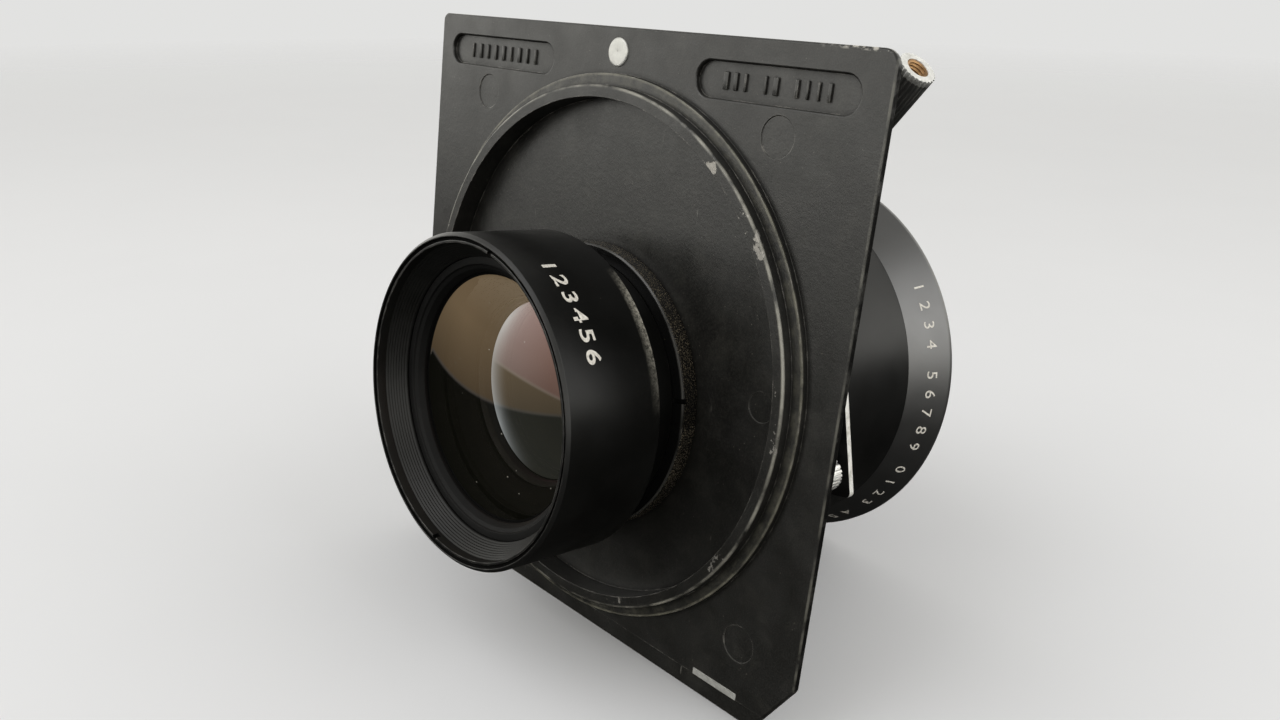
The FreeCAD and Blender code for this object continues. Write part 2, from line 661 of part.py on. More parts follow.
def blade(inner, outer, pivot_radius, span, drive_angle, layer_y, base_y, ring_y, rest_turn, place):
    """One curved blade with its pivot stud (towards the base) and driving stud (towards the ring)."""
    front = layer_y - BLADE_THICKNESS
    lug_edge = 1.6
    lug_angle = math.degrees(lug_edge / pivot_radius)
    arc = sector(inner, outer, drive_angle - lug_angle, span, front, layer_y)
    lug = sector(outer - 2.0, pivot_radius + lug_edge, drive_angle - lug_angle, lug_angle, front, layer_y)
    pivot = rod(STUD_RADIUS, layer_y - 0.05, base_y, pivot_radius, AXIS_Z)
    drive_x, drive_z = stud_position(pivot_radius, drive_angle, 0.0)
    drive = rod(STUD_RADIUS, ring_y, front + 0.05, drive_x, drive_z + AXIS_Z)
    shape = fuse(arc, lug, pivot, drive)
    shape = turn_about_axis(shape, rest_turn, at(pivot_radius, 0, 0))
    return turn_about_axis(shape, place)


def cam_slot(pivot_radius, drive_angle, rest_turn, ratio, ring_from, ring_to, y_front, y_rear):
    """The slot that lets a stud follow its blade while the ring turns: the stud's path seen from the ring."""
    steps = 12
    half_width = STUD_RADIUS + STUD_GAP
    path = []
    for index in range(steps + 1):
        ring_turn = ring_from + (ring_to - ring_from) * index / steps
        x, z = stud_position(pivot_radius, drive_angle, rest_turn + ratio * ring_turn)
        back = math.radians(-ring_turn)
        path.append((x * math.cos(back) - z * math.sin(back), x * math.sin(back) + z * math.cos(back)))
    left = []
    right = []
    for index, (x, z) in enumerate(path):
        ahead = path[min(index + 1, steps)]
        behind = path[max(index - 1, 0)]
        length = math.hypot(ahead[0] - behind[0], ahead[1] - behind[1])
        nx = -(ahead[1] - behind[1]) / length * half_width
        nz = (ahead[0] - behind[0]) / length * half_width
        left.append((x + nx, z + nz + AXIS_Z))
        right.append((x - nx, z - nz + AXIS_Z))
    trough = slab(left + right[::-1], y_front, y_rear)
    ends = [rod(half_width, y_front, y_rear, x, z + AXIS_Z) for x, z in (path[0], path[-1])]
    return fuse(trough, *ends)


def stud_holes(count, pivot_radius, y_front, y_rear):
    hole = rod(STUD_RADIUS + STUD_GAP, y_front, y_rear, pivot_radius, AXIS_Z)
    return [turn_about_axis(hole, index * 360.0 / count) for index in range(count)]


def iris_base_ring():
    body = ring(HOUSING_INNER - 0.1, CLEAR_RADIUS, *IRIS_BASE)
    return cut_all(body, stud_holes(IRIS_COUNT, IRIS_PIVOT, IRIS_BASE[0] - 1, IRIS_BASE[1] + 1))


def iris_blade(index):
    layer_y = IRIS_FIRST_LAYER - index * BLADE_PITCH
    return blade(IRIS_INNER, IRIS_OUTER, IRIS_PIVOT, IRIS_SPAN, IRIS_DRIVE_ANGLE, layer_y,
                 IRIS_BASE[0] + 1.2, IRIS_RING[0] + 0.2, IRIS_REST_TURN, index * 360.0 / IRIS_COUNT)


def iris_drive_ring():
    body = ring(47.6, 24.6, *IRIS_RING)
    angle = APERTURE_LEVER_ANGLE
    arm = sector(46.0, 55.2, angle - 3.0, angle + 3.0, *IRIS_RING)
    slot = cam_slot(IRIS_PIVOT, IRIS_DRIVE_ANGLE, IRIS_REST_TURN, IRIS_RATIO,
                    IRIS_LEVER_CLOSED - 0.5, IRIS_LEVER_OPEN + 0.5, IRIS_RING[0] - 1, IRIS_RING[1] + 1)
    slots = [turn_about_axis(slot, index * 360.0 / IRIS_COUNT) for index in range(IRIS_COUNT)]
    return cut_all(fuse(body, arm), slots)


def aperture_lever():
    angle = APERTURE_LEVER_ANGLE
    leg = sector(*APERTURE_LEG, angle - 3.0, angle + 3.0, APERTURE_TAB[0], IRIS_RING[0])
    return fuse(leg, aperture_finger(APERTURE_LEG[1] - 1.2))


def aperture_finger(start):
    """The flat tongue that the finger piece is pressed onto."""
    angle = APERTURE_LEVER_ANGLE
    return sector(start, APERTURE_TAB_RADIUS, angle - 2.2, angle + 2.2,
                  APERTURE_TAB[0] + 1.0, APERTURE_TAB[1] - 1.0)


def aperture_tab():
    """The serrated finger piece on the end of the aperture lever."""
    centre = polar(APERTURE_TAB_RADIUS, APERTURE_LEVER_ANGLE, 0)
    tab = rod(APERTURE_TAB_ROUND, *APERTURE_TAB, centre.x, centre.z)
    angle = APERTURE_LEVER_ANGLE
    hollow = sector(50.0, APERTURE_LEG[1], angle - 6.0, angle + 6.0,
                    APERTURE_TAB[0] - 1, APERTURE_TAB[1] + 1)
    depth = APERTURE_TAB_GROOVE["depth"]
    half = APERTURE_TAB_GROOVE["half_width"]
    core = rod(APERTURE_TAB_ROUND - depth, APERTURE_TAB[0] - 2, APERTURE_TAB[1] - depth, centre.x, centre.z)
    grooves = []
    for index in range(APERTURE_TAB_RIDGES):
        z = AXIS_Z + (index - (APERTURE_TAB_RIDGES - 1) / 2) * APERTURE_TAB_PITCH
        groove = block(50.0, 70.0, APERTURE_TAB[0] - 1, APERTURE_TAB[1] + 1, z - half, z + half)
        grooves.append(turn_about_axis(groove, angle).cut(core))
    return cut_all(tab, [aperture_finger(50.0), hollow] + grooves)


def leaf_base_plate():
    body = ring(HOUSING_INNER - 0.1, CLEAR_RADIUS, *LEAF_BASE)
    hub = ring(24.54, CLEAR_RADIUS, LEAF_BASE[1], IRIS_RING[1])
    holes = stud_holes(LEAF_COUNT, LEAF_PIVOT, LEAF_BASE[0] - 1, LEAF_BASE[1] + 1)
    return cut_all(fuse(body, hub), holes)


def shutter_leaf(index):
    layer_y = LEAF_FIRST_LAYER - index * BLADE_PITCH
    return blade(LEAF_INNER, LEAF_OUTER, LEAF_PIVOT, LEAF_SPAN, LEAF_DRIVE_ANGLE, layer_y,
                 LEAF_BASE[0] + 1.2, LEAF_RING[0] + 0.2, LEAF_TURN, index * 360.0 / LEAF_COUNT)


def leaf_drive_ring():
    body = ring(47.6, 25.6, *LEAF_RING)
    angle = PREVIEW_LEVER_ANGLE
    arm = sector(46.0, PREVIEW_TAB_RADIUS - 1.5, angle - 2.5, angle + 2.5, *LEAF_RING)
    slot = cam_slot(LEAF_PIVOT, LEAF_DRIVE_ANGLE, LEAF_TURN, LEAF_RATIO,
                    -0.5, LEAF_RING_TURN + 0.5, LEAF_RING[0] - 1, LEAF_RING[1] + 1)
    slots = [turn_about_axis(slot, index * 360.0 / LEAF_COUNT) for index in range(LEAF_COUNT)]
    return cut_all(fuse(body, arm), slots)


def preview_tab():
    centre = polar(PREVIEW_TAB_RADIUS, PREVIEW_LEVER_ANGLE, 0)
    tab = rod(3.6, LEAF_RING[0] - 1.2, LEAF_RING[1] + 0.8, centre.x, centre.z)
    angle = PREVIEW_LEVER_ANGLE
    return tab.cut(sector(50.0, PREVIEW_TAB_RADIUS - 1.5, angle - 2.5, angle + 2.5, *LEAF_RING))


# ---------------------------------------------------------------- lens cells and glass

def lens(edge_radius, face_radius, y_front, y_rear, bulge_front, bulge_rear):
    """A glass element: a ground edge, a flat seat ring on each side and a spherical face inside each."""
    front_pole = at(0, y_front - bulge_front, 0)
    rear_pole = at(0, y_rear + bulge_rear, 0)
    front_arc = half_arc(at(face_radius, y_front, 0), front_pole, at(-face_radius, y_front, 0))
    rear_arc = half_arc(at(face_radius, y_rear, 0), rear_pole, at(-face_radius, y_rear, 0))
    edges = [
        front_arc,
        Part.makeLine(at(face_radius, y_front, 0), at(edge_radius, y_front, 0)),
        Part.makeLine(at(edge_radius, y_front, 0), at(edge_radius, y_rear, 0)),
        Part.makeLine(at(edge_radius, y_rear, 0), at(face_radius, y_rear, 0)),
        rear_arc,
        Part.makeLine(front_pole, rear_pole),
    ]
    face = Part.Face(Part.Wire(Part.__sortEdges__(edges)))
    return face.revolve(at(0, 0, 0), Y_AXIS, 360)


def half_arc(edge_point, pole, mirror_point):
    """The half of the arc through edge, pole and mirrored edge that runs from the edge to the pole."""
    circle = Part.Arc(edge_point, pole, mirror_point)
    first = circle.FirstParameter
    last = circle.LastParameter
    middle = circle.parameter(pole)
    half = circle.value((first + middle) / 2)
    if (half - edge_point).Length > (half - mirror_point).Length:
        half = circle.value((middle + last) / 2)
    return Part.Arc(edge_point, half, pole).toShape()


def cell_bore(glass):
    """The radius of the bore that an element drops into."""
    return glass[0] + GLASS_FIT


def rear_barrel():
    outer_seat, outer_top = REAR_OUTER_GLASS[2:4]
    inner_seat = REAR_INNER_GLASS[2]
    rim = REAR_CELL_RIM
    points = [
        (CELL_THREAD_RADIUS, -6.4), (CELL_THREAD_RADIUS, MOUNT_TUBE_END),
        (REAR_NECK_RADIUS, MOUNT_TUBE_END), (REAR_NECK_RADIUS, 10.5),
        (REAR_CELL_RADIUS - 0.8, REAR_CELL_START - 0.8),
        (REAR_CELL_RADIUS, REAR_CELL_START), (REAR_CELL_RADIUS, rim - 0.8), (REAR_CELL_RADIUS - 0.8, rim),
        (REAR_THREAD_RADIUS + 0.8, rim), (REAR_THREAD_RADIUS, rim - 0.8),
        (REAR_THREAD_RADIUS, REAR_THREAD_END),
        (REAR_THREAD_RADIUS - 0.6, REAR_SHOULDER[1]), REAR_SHOULDER, (REAR_SHOULDER[0], outer_top),
        (cell_bore(REAR_OUTER_GLASS), outer_top), (cell_bore(REAR_OUTER_GLASS), outer_seat),
        (30.4, outer_seat), (30.4, 22.5), (cell_bore(REAR_INNER_GLASS), 19.6),
        (cell_bore(REAR_INNER_GLASS), inner_seat), (23.0, inner_seat), (23.0, 8.6), (25.2, -6.4),
    ]
    half = REAR_NOTCH_HALF_WIDTH
    notch = block(37.0, 39.9, rim - 1.0, rim + 1, AXIS_Z - half, AXIS_Z + half)
    return cut_all(turned(points), [turn_about_axis(notch, angle) for angle in REAR_NOTCH_ANGLES])


def rear_retaining_ring():
    seat = REAR_OUTER_GLASS[3]
    return turned([(34.8, seat), (34.8, seat + 3.4), (32.6, seat + 3.4), (31.0, seat + 2.0), (31.0, seat)])


def rear_outer_element():
    return lens(*REAR_OUTER_GLASS)


def rear_inner_element():
    return lens(*REAR_INNER_GLASS)


def rear_inner_ring():
    outer = REAR_INNER_GLASS[0]
    seat = REAR_INNER_GLASS[3]
    return turned([(outer, seat), (outer, seat + 3.2), (23.2, seat + 2.0), (23.2, seat)])


def front_barrel():
    outer_edge, outer_seat = FRONT_OUTER_GLASS[2:4]
    inner_edge, inner_seat = FRONT_INNER_GLASS[2:4]
    rim = FRONT_RIM
    points = [
        (CELL_THREAD_RADIUS, -24.0), (27.0, -24.0), (27.0, inner_seat),
        (cell_bore(FRONT_INNER_GLASS), inner_seat), (cell_bore(FRONT_INNER_GLASS), inner_edge - 2.4),
        (44.0, outer_seat + 2.0), (44.0, outer_seat),
        (cell_bore(FRONT_OUTER_GLASS), outer_seat), (cell_bore(FRONT_OUTER_GLASS), outer_edge),
        (50.65, outer_edge), (50.65, FRONT_THREAD_END), (FRONT_THREAD_RADIUS, FRONT_THREAD_END),
        (FRONT_THREAD_RADIUS, rim + 0.9), (FRONT_THREAD_RADIUS + 0.8, rim), (FRONT_RIM_RADIUS - 0.7, rim),
        (FRONT_RIM_RADIUS, rim + 0.7), (FRONT_RIM_RADIUS, rim + 1.9), (FRONT_BARREL_RADIUS, FRONT_CONE_START),
        (FRONT_BARREL_RADIUS, -41.0), (FRONT_BARREL_RADIUS - 1.0, -40.0), (33.0, -40.0),
        (33.0, FRONT_TUBE_END), (CELL_THREAD_RADIUS, FRONT_TUBE_END),
    ]
    return turned(points)


def front_retaining_ring():
    seat = FRONT_OUTER_GLASS[2]
    return turned([(50.6, seat), (50.6, seat - 2.6), (48.4, seat - 2.6), (46.6, seat - 1.8), (46.6, seat)])


def front_outer_element():
    return lens(*FRONT_OUTER_GLASS)


def front_inner_element():
    return lens(*FRONT_INNER_GLASS)


def front_inner_ring():
    outer = FRONT_INNER_GLASS[0]
    seat = FRONT_INNER_GLASS[2]
    return turned([(outer, seat), (outer, seat - 2.0), (28.4, seat - 2.0), (28.4, seat)])


# ---------------------------------------------------------------- all pieces

PIECES = {
    "lens_board": lens_board, "index_dot": index_dot, "index_strip": index_strip,
    "retaining_ring": retaining_ring, "shutter_housing": shutter_housing, "front_cover": front_cover,
    "speed_ring_retainer": speed_ring_retainer, "retainer_screws": retainer_screws,
    "speed_ring": speed_ring, "scale_plate": scale_plate, "scale_plate_screws": scale_plate_screws,
    "sync_socket": sync_socket, "sync_insulator": sync_insulator, "sync_contact": sync_contact,
    "release_socket": release_socket, "extension_tube": extension_tube,
    "extension_sleeve": extension_sleeve, "extension_bush": extension_bush,
    "extension_collar": extension_collar, "release_plunger": release_plunger,
    "release_lever": release_lever, "mechanism_plate": mechanism_plate, "main_spring": main_spring,
    "cocking_ring": cocking_ring, "cocking_tab": cocking_tab, "iris_base_ring": iris_base_ring,
    "iris_drive_ring": iris_drive_ring, "aperture_lever": aperture_lever, "aperture_tab": aperture_tab,
    "leaf_base_plate": leaf_base_plate, "leaf_drive_ring": leaf_drive_ring, "preview_tab": preview_tab,
    "rear_barrel": rear_barrel, "rear_retaining_ring": rear_retaining_ring,
    "rear_outer_element": rear_outer_element, "rear_inner_element": rear_inner_element,
    "rear_inner_ring": rear_inner_ring, "front_barrel": front_barrel,
    "front_retaining_ring": front_retaining_ring, "front_outer_element": front_outer_element,
    "front_inner_element": front_inner_element, "front_inner_ring": front_inner_ring,
}

os.makedirs("parts", exist_ok=True)
for piece_name, make_piece in PIECES.items():
    save(piece_name, make_piece())
for number in range(IRIS_COUNT):
    save("iris_blade_%d" % (number + 1), iris_blade(number))
for number in range(LEAF_COUNT):
    save("shutter_leaf_%d" % (number + 1), shutter_leaf(number))
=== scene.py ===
import json
import math
import random

import bmesh
import bpy
from mathutils import Matrix, Vector


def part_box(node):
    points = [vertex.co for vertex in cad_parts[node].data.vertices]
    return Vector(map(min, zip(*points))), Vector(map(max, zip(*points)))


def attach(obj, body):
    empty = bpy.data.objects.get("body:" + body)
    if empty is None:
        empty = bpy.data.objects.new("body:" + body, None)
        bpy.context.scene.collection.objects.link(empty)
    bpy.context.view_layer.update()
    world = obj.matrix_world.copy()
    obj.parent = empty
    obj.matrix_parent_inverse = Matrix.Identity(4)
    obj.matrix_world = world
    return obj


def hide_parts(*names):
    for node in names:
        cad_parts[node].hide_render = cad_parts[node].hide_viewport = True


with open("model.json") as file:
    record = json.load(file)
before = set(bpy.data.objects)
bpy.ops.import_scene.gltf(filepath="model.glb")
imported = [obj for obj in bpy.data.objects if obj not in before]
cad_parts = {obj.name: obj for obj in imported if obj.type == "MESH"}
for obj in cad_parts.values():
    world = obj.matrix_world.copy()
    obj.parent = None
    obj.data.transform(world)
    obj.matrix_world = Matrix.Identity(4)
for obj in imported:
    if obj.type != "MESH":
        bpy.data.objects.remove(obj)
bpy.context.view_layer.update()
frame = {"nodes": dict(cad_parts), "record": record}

# The looks of a large-format lens on its lens board. Metres, same frame as the CAD: the lens looks along -Y,
# the rear of the board faces +Y, and the origin is the centre of the light-trap ring.

MM = 0.001
NODES = frame["nodes"]
RANDOM = random.Random(7)


# ---------------------------------------------------------------- sizes read from the frame

def span(node, axis):
    low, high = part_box(node)
    return low[axis], high[axis]


def radius_of(node):
    low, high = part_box(node)
    return (high.x - low.x) / 2


AXIS_Z = sum(span("rear_barrel", 2)) / 2
REAR_RIM = span("rear_barrel", 1)[1]
REAR_RADIUS = radius_of("rear_barrel")
FRONT_RIM = span("front_barrel", 1)[0]
FRONT_RADIUS = radius_of("front_barrel")
BOARD_LOW, BOARD_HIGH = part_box("lens_board")
# the object stands on the board's bottom edge and the front rim, so the floor leans in the object's frame
FLOOR_EDGE = Vector((0.0, BOARD_LOW.y * 0.6, BOARD_LOW.z))
FLOOR_RIM = Vector((0.0, FRONT_RIM + 0.7 * MM, AXIS_Z - FRONT_RADIUS))
FLOOR_SLOPE = (FLOOR_EDGE - FLOOR_RIM).normalized()
FLOOR_NORMAL = Vector((1, 0, 0)).cross(FLOOR_SLOPE)


# ---------------------------------------------------------------- node-graph helpers

class Graph:
    """A small wrapper that makes shader nodes and their links short to write."""

    def __init__(self, name):
        self.material = bpy.data.materials.new(name)
        self.material.use_nodes = True
        self.tree = self.material.node_tree
        self.tree.nodes.clear()
        self.out = self.tree.nodes.new("ShaderNodeOutputMaterial")
        self.coords = self.add("ShaderNodeTexCoord").outputs["Object"]

    def add(self, kind, **inputs):
        node = self.tree.nodes.new(kind)
        for key, value in inputs.items():
            self.put(node, key.replace("_", " "), value)
        return node

    def put(self, node, key, value):
        socket = node.inputs[key]
        if isinstance(value, bpy.types.NodeSocket):
            self.tree.links.new(value, socket)
        else:
            socket.default_value = value

    def math(self, operation, a, b=0.0, clamp=False):
        node = self.tree.nodes.new("ShaderNodeMath")
        node.operation = operation
        node.use_clamp = clamp
        self.put(node, 0, a)
        self.put(node, 1, b)
        return node.outputs[0]

    def noise(self, scale, detail=4.0, roughness=0.55, vector=None, distortion=0.0):
        node = self.add("ShaderNodeTexNoise", Scale=scale, Detail=detail, Roughness=roughness,
                        Distortion=distortion, Vector=vector or self.coords)
        return node.outputs["Fac"]

    def voronoi(self, scale, feature="F1", vector=None):
        node = self.add("ShaderNodeTexVoronoi", Scale=scale, Vector=vector or self.coords)
        node.feature = feature
        return node.outputs["Distance"]

    def ramp(self, value, low, high, out_low=0.0, out_high=1.0):
        node = self.tree.nodes.new("ShaderNodeMapRange")
        node.clamp = True
        for key, v in (("Value", value), ("From Min", low), ("From Max", high), ("To Min", out_low), ("To Max", out_high)):
            self.put(node, key, v)
        return node.outputs["Result"]

    def mix(self, factor, a, b):
        node = self.tree.nodes.new("ShaderNodeMix")
        node.data_type = "RGBA"
        self.put(node, 0, factor)
        for index, value in ((6, a), (7, b)):
            socket = node.inputs[index]
            if isinstance(value, bpy.types.NodeSocket):
                self.tree.links.new(value, socket)
            else:
                socket.default_value = (*value, 1.0)
        return node.outputs[2]

    def stretched(self, x, y, z):
        node = self.add("ShaderNodeMapping", Vector=self.coords)
        node.inputs["Scale"].default_value = (x, y, z)
        return node.outputs["Vector"]

    def separate(self):
        node = self.add("ShaderNodeSeparateXYZ", Vector=self.coords)
        return node.outputs

    def ring_distance(self, centre_z):
        """Distance from the line parallel to Y through (0, centre_z)."""
        x, _, z = self.separate()
        dz = self.math("SUBTRACT", z, centre_z)
        return self.math("SQRT", self.math("ADD", self.math("MULTIPLY", x, x), self.math("MULTIPLY", dz, dz)))

    def clock_angle(self):
        """Angle about the optical axis in degrees: 90 at the top, 180 on the side of -X."""
        x, _, z = self.separate()
        turn = self.math("ARCTAN2", self.math("SUBTRACT", z, AXIS_Z), x)
        return self.math("MULTIPLY", turn, 180.0 / math.pi)

    def edge_mask(self, radius):
        """Near 1 on convex or concave edges, 0 on flats."""
        bevel = self.add("ShaderNodeBevel", Radius=radius)
        bevel.samples = 6
        geometry = self.add("ShaderNodeNewGeometry")
        dot = self.tree.nodes.new("ShaderNodeVectorMath")
        dot.operation = "DOT_PRODUCT"
        self.put(dot, 0, bevel.outputs["Normal"])
        self.put(dot, 1, geometry.outputs["Normal"])
        return self.math("SUBTRACT", 1.0, dot.outputs["Value"])

    def hollow_mask(self, distance):
        """1 on open surfaces, falling towards 0 in corners and narrow hollows."""
        node = self.add("ShaderNodeAmbientOcclusion", Distance=distance)
        node.samples = 6
        return node.outputs["AO"]

    def bump(self, height, strength, distance):
        node = self.add("ShaderNodeBump", Height=height, Strength=strength, Distance=distance)
        return node.outputs["Normal"]

    def finish(self, **inputs):
        shader = self.tree.nodes.new("ShaderNodeBsdfPrincipled")
        for key, value in inputs.items():
            key = key.replace("_", " ")
            if isinstance(value, tuple) and len(value) == 3:
                value = (*value, 1.0)
            self.put(shader, key, value)
        self.tree.links.new(shader.outputs[0], self.out.inputs[0])
        return self.material


# ---------------------------------------------------------------- materials

def board_paint():
    """Satin black paint over a die casting: fine grain, dust, scratches and bare metal on the worn edges, with painted
    shade in hollows and on the side face, and painted highlight lines along the ring and the outer edge.
    """
    g = Graph("board_paint")
    broad = g.noise(35.0, 3.0)
    grain = g.noise(2600.0, 2.0)
    paint = g.mix(g.ramp(broad, 0.35, 0.7), (0.0052, 0.0050, 0.0045), (0.0090, 0.0087, 0.0078))
    paint = g.mix(g.ramp(grain, 0.45, 0.75, 0.0, 0.40), paint, (0.040, 0.039, 0.034))
    smear = g.ramp(g.noise(130.0, 6.0, 0.7), 0.50, 0.72)
    paint = g.mix(g.math("MULTIPLY", smear, 0.22), paint, (0.060, 0.058, 0.050))
    scuffs = g.ramp(g.noise(420.0, 6.0, 0.7, g.stretched(1.0, 1.0, 0.22)), 0.66, 0.74)
    rub = g.math("MULTIPLY", scuffs, g.ramp(g.noise(60.0, 2.0), 0.52, 0.62))
    paint = g.mix(g.math("MULTIPLY", rub, 0.5), paint, (0.16, 0.155, 0.14))
    dust = g.math("MULTIPLY", g.ramp(g.voronoi(800.0), 0.0, 0.13, 1.0, 0.0), g.ramp(g.noise(170.0), 0.54, 0.62))
    paint = g.mix(g.math("MULTIPLY", dust, 0.55), paint, (0.33, 0.31, 0.26))
    lines = g.ramp(g.noise(800.0, 3.0, 0.5, g.stretched(1.0, 1.0, 0.06)), 0.735, 0.76)
    lines = g.math("MULTIPLY", lines, g.ramp(g.noise(75.0, 2.0), 0.55, 0.62))
    paint = g.mix(g.math("MULTIPLY", lines, 0.7), paint, (0.30, 0.29, 0.26))
    edge = g.edge_mask(0.5 * MM)
    chips = g.noise(260.0, 5.0, 0.65)
    big_chips = g.noise(70.0, 3.0, 0.6)
    ring = g.ring_distance(0.0)
    near_ring = g.math("MULTIPLY", g.ramp(ring, 63.8 * MM, 64.2 * MM), g.ramp(ring, 67.6 * MM, 68.2 * MM, 1.0, 0.0))
    height = g.separate()[1]
    near_ring = g.math("MULTIPLY", near_ring, g.ramp(height, 3.6 * MM, 4.4 * MM))
    side = g.math("MULTIPLY", g.separate()[0], -0.9)
    patchy = g.math("ADD", g.math("ADD", chips, g.math("MULTIPLY", big_chips, 0.6)), side)
    ring_chips = g.math("MULTIPLY", near_ring, g.ramp(patchy, 1.0, 1.03))
    edge_wear = g.math("MULTIPLY", g.ramp(edge, 0.02, 0.12), g.ramp(chips, 0.50, 0.62))
    worn = g.math("MAXIMUM", g.math("MULTIPLY", edge_wear, 0.75), ring_chips, clamp=True)
    rub_edge = g.math("MULTIPLY", g.ramp(edge, 0.01, 0.10), 0.22)
    colour = g.mix(rub_edge, paint, (0.16, 0.155, 0.14))
    # pale lines on the light-trap ring's crest, step and ledge: partly worn paint, partly painted highlight on walls
    # that face the light
    crest = g.math("MULTIPLY", g.ramp(ring, 66.6 * MM, 67.0 * MM), g.ramp(height, 4.0 * MM, 4.5 * MM))
    crest = g.math("MULTIPLY", crest, g.ramp(g.noise(110.0, 4.0), 0.40, 0.60))
    step = g.math("MULTIPLY", g.ramp(ring, 69.6 * MM, 69.9 * MM), g.ramp(height, 1.3 * MM, 1.7 * MM))
    step = g.math("MULTIPLY", step, g.ramp(g.noise(240.0, 5.0, 0.65), 0.34, 0.60))
    colour = g.mix(g.math("MULTIPLY", step, 0.80), colour, (0.175, 0.168, 0.130))
    ledge = g.math("MULTIPLY", g.ramp(ring, 67.6 * MM, 68.0 * MM), g.ramp(height, 1.5 * MM, 1.75 * MM))
    ledge = g.math("MULTIPLY", ledge, g.ramp(g.noise(320.0, 5.0, 0.7), 0.42, 0.66))
    colour = g.mix(g.math("MULTIPLY", ledge, 0.40), colour, (0.110, 0.105, 0.080))
    colour = g.mix(g.math("MULTIPLY", crest, 0.85), colour, (0.32, 0.31, 0.27))
    outside = g.math("MULTIPLY", g.separate()[0], -1.0)
    # painted shade: the board's side face beyond the rear face's edge is painted near black, and its shine is cut at
    # line 253
    side_face_shade = g.math("MULTIPLY", g.ramp(outside, 78.75 * MM, 78.9 * MM), g.ramp(g.noise(180.0, 4.0), 0.60, 0.50))
    colour = g.mix(g.math("MULTIPLY", side_face_shade, 0.85), colour, (0.004, 0.004, 0.004))
    # painted highlight: a pale, broken line along the rear face's edge where its chamfer catches the light
    edge_highlight_line = g.math("MULTIPLY", g.ramp(outside, 78.2 * MM, 78.45 * MM), g.ramp(outside, 78.75 * MM, 78.9 * MM, 1.0, 0.0))
    edge_highlight_line = g.math("MULTIPLY", edge_highlight_line, g.ramp(g.noise(150.0, 4.0), 0.38, 0.60))
    colour = g.mix(g.math("MULTIPLY", edge_highlight_line, 0.55), colour, (0.17, 0.165, 0.14))
    near_top = g.math("MULTIPLY", g.ramp(g.separate()[2], 80.5 * MM, 80.95 * MM), g.ramp(outside, 58.0 * MM, 68.0 * MM))
    nicks = g.math("MULTIPLY", near_top, g.ramp(g.noise(420.0, 4.0, 0.6), 0.50, 0.57))
    colour = g.mix(nicks, colour, (0.42, 0.40, 0.36))
    colour = g.mix(worn, colour, (0.33, 0.315, 0.29))
    # painted shade: the colour goes towards black in corners and hollows, and the shine is cut there too
    open_air = g.ramp(g.hollow_mask(1.6 * MM), 0.40, 0.90, 0.45, 1.0)
    colour = g.mix(open_air, (0.002, 0.002, 0.002), colour)
    shine = g.math("MULTIPLY", open_air, g.ramp(side_face_shade, 0.0, 1.0, 0.66, 0.12))
    rough = g.ramp(g.noise(90.0, 5.0, 0.6), 0.3, 0.7, 0.30, 0.44)
    relief = g.math("ADD", g.math("MULTIPLY", grain, 0.5), g.math("MULTIPLY", g.noise(700.0, 3.0), 0.8))
    relief = g.math("SUBTRACT", relief, g.math("MULTIPLY", worn, 1.5))
    normal = g.bump(relief, 0.30, 0.15 * MM)
    return g.finish(Base_Color=colour, Roughness=rough, Normal=normal, Metallic=g.math("MULTIPLY", worn, 0.5),
                    Specular_IOR_Level=shine)


def turned_metal(name, base, worn, roughness, edge_amount=0.5, dust_amount=0.5, specular=0.5, dust_and_sheen_from=None, ior=1.5):
    """Black-finished turned metal: fine lathe lines round the optical axis, dust specks and lightly rubbed edges; given
    a band of heights near the base, also a pale crescent on the upper side there, partly dust and partly a painted
    highlight.
    """
    g = Graph(name)
    broad = g.noise(55.0, 3.0)
    colour = g.mix(g.ramp(broad, 0.35, 0.7), base, tuple(c * 1.7 + 0.002 for c in base))
    specks = g.ramp(g.voronoi(620.0), 0.0, 0.075, 1.0, 0.0)
    dust = g.math("MULTIPLY", specks, g.ramp(g.noise(120.0), 0.58, 0.66))
    haze_and_sheen = g.math("MULTIPLY", g.ramp(g.noise(900.0, 5.0, 0.7), 0.55, 0.8), g.ramp(g.noise(40.0), 0.45, 0.7))
    dust = g.math("MAXIMUM", dust, g.math("MULTIPLY", haze_and_sheen, 0.08))
    colour = g.mix(g.math("MULTIPLY", dust, dust_amount), colour, (0.30, 0.27, 0.22))
    edge = g.math("MULTIPLY", g.ramp(g.edge_mask(0.35 * MM), 0.015, 0.12), g.ramp(g.noise(300.0, 4.0), 0.42, 0.62))
    colour = g.mix(g.math("MULTIPLY", edge, edge_amount), colour, worn)
    ring = g.ring_distance(AXIS_Z)
    along = g.separate()[1]
    # painted highlight with dust: a pale crescent on the upper side of the base, broken into dusty specks
    if dust_and_sheen_from:
        low, high = dust_and_sheen_from
        band = g.math("MULTIPLY", g.ramp(along, high * MM, low * MM), g.ramp(ring, 38.0 * MM, 40.4 * MM))
        clock = g.clock_angle()
        side = g.math("MULTIPLY", g.ramp(clock, 118.0, 132.0), g.ramp(clock, 138.0, 172.0, 1.0, 0.0))
        grit_and_sheen = g.ramp(g.noise(1400.0, 5.0, 0.75), 0.36, 0.62)
        haze_and_sheen = g.math("MULTIPLY", g.math("MULTIPLY", band, side), grit_and_sheen)
        colour = g.mix(haze_and_sheen, colour, (0.60, 0.57, 0.49))
    lines = g.add("ShaderNodeCombineXYZ", X=g.math("MULTIPLY", ring, 5400.0), Y=g.math("MULTIPLY", along, 5400.0))
    fine = g.noise(1.0, 2.0, 0.5, lines.outputs[0])
    normal = g.bump(g.math("ADD", g.math("MULTIPLY", fine, 0.6), g.noise(2400.0, 2.0)), 0.10, 0.05 * MM)
    rough = g.ramp(g.noise(160.0, 4.0), 0.3, 0.7, roughness - 0.015, roughness + 0.03)
    return g.finish(Base_Color=colour, Roughness=rough, Normal=normal, Specular_IOR_Level=specular, IOR=ior)


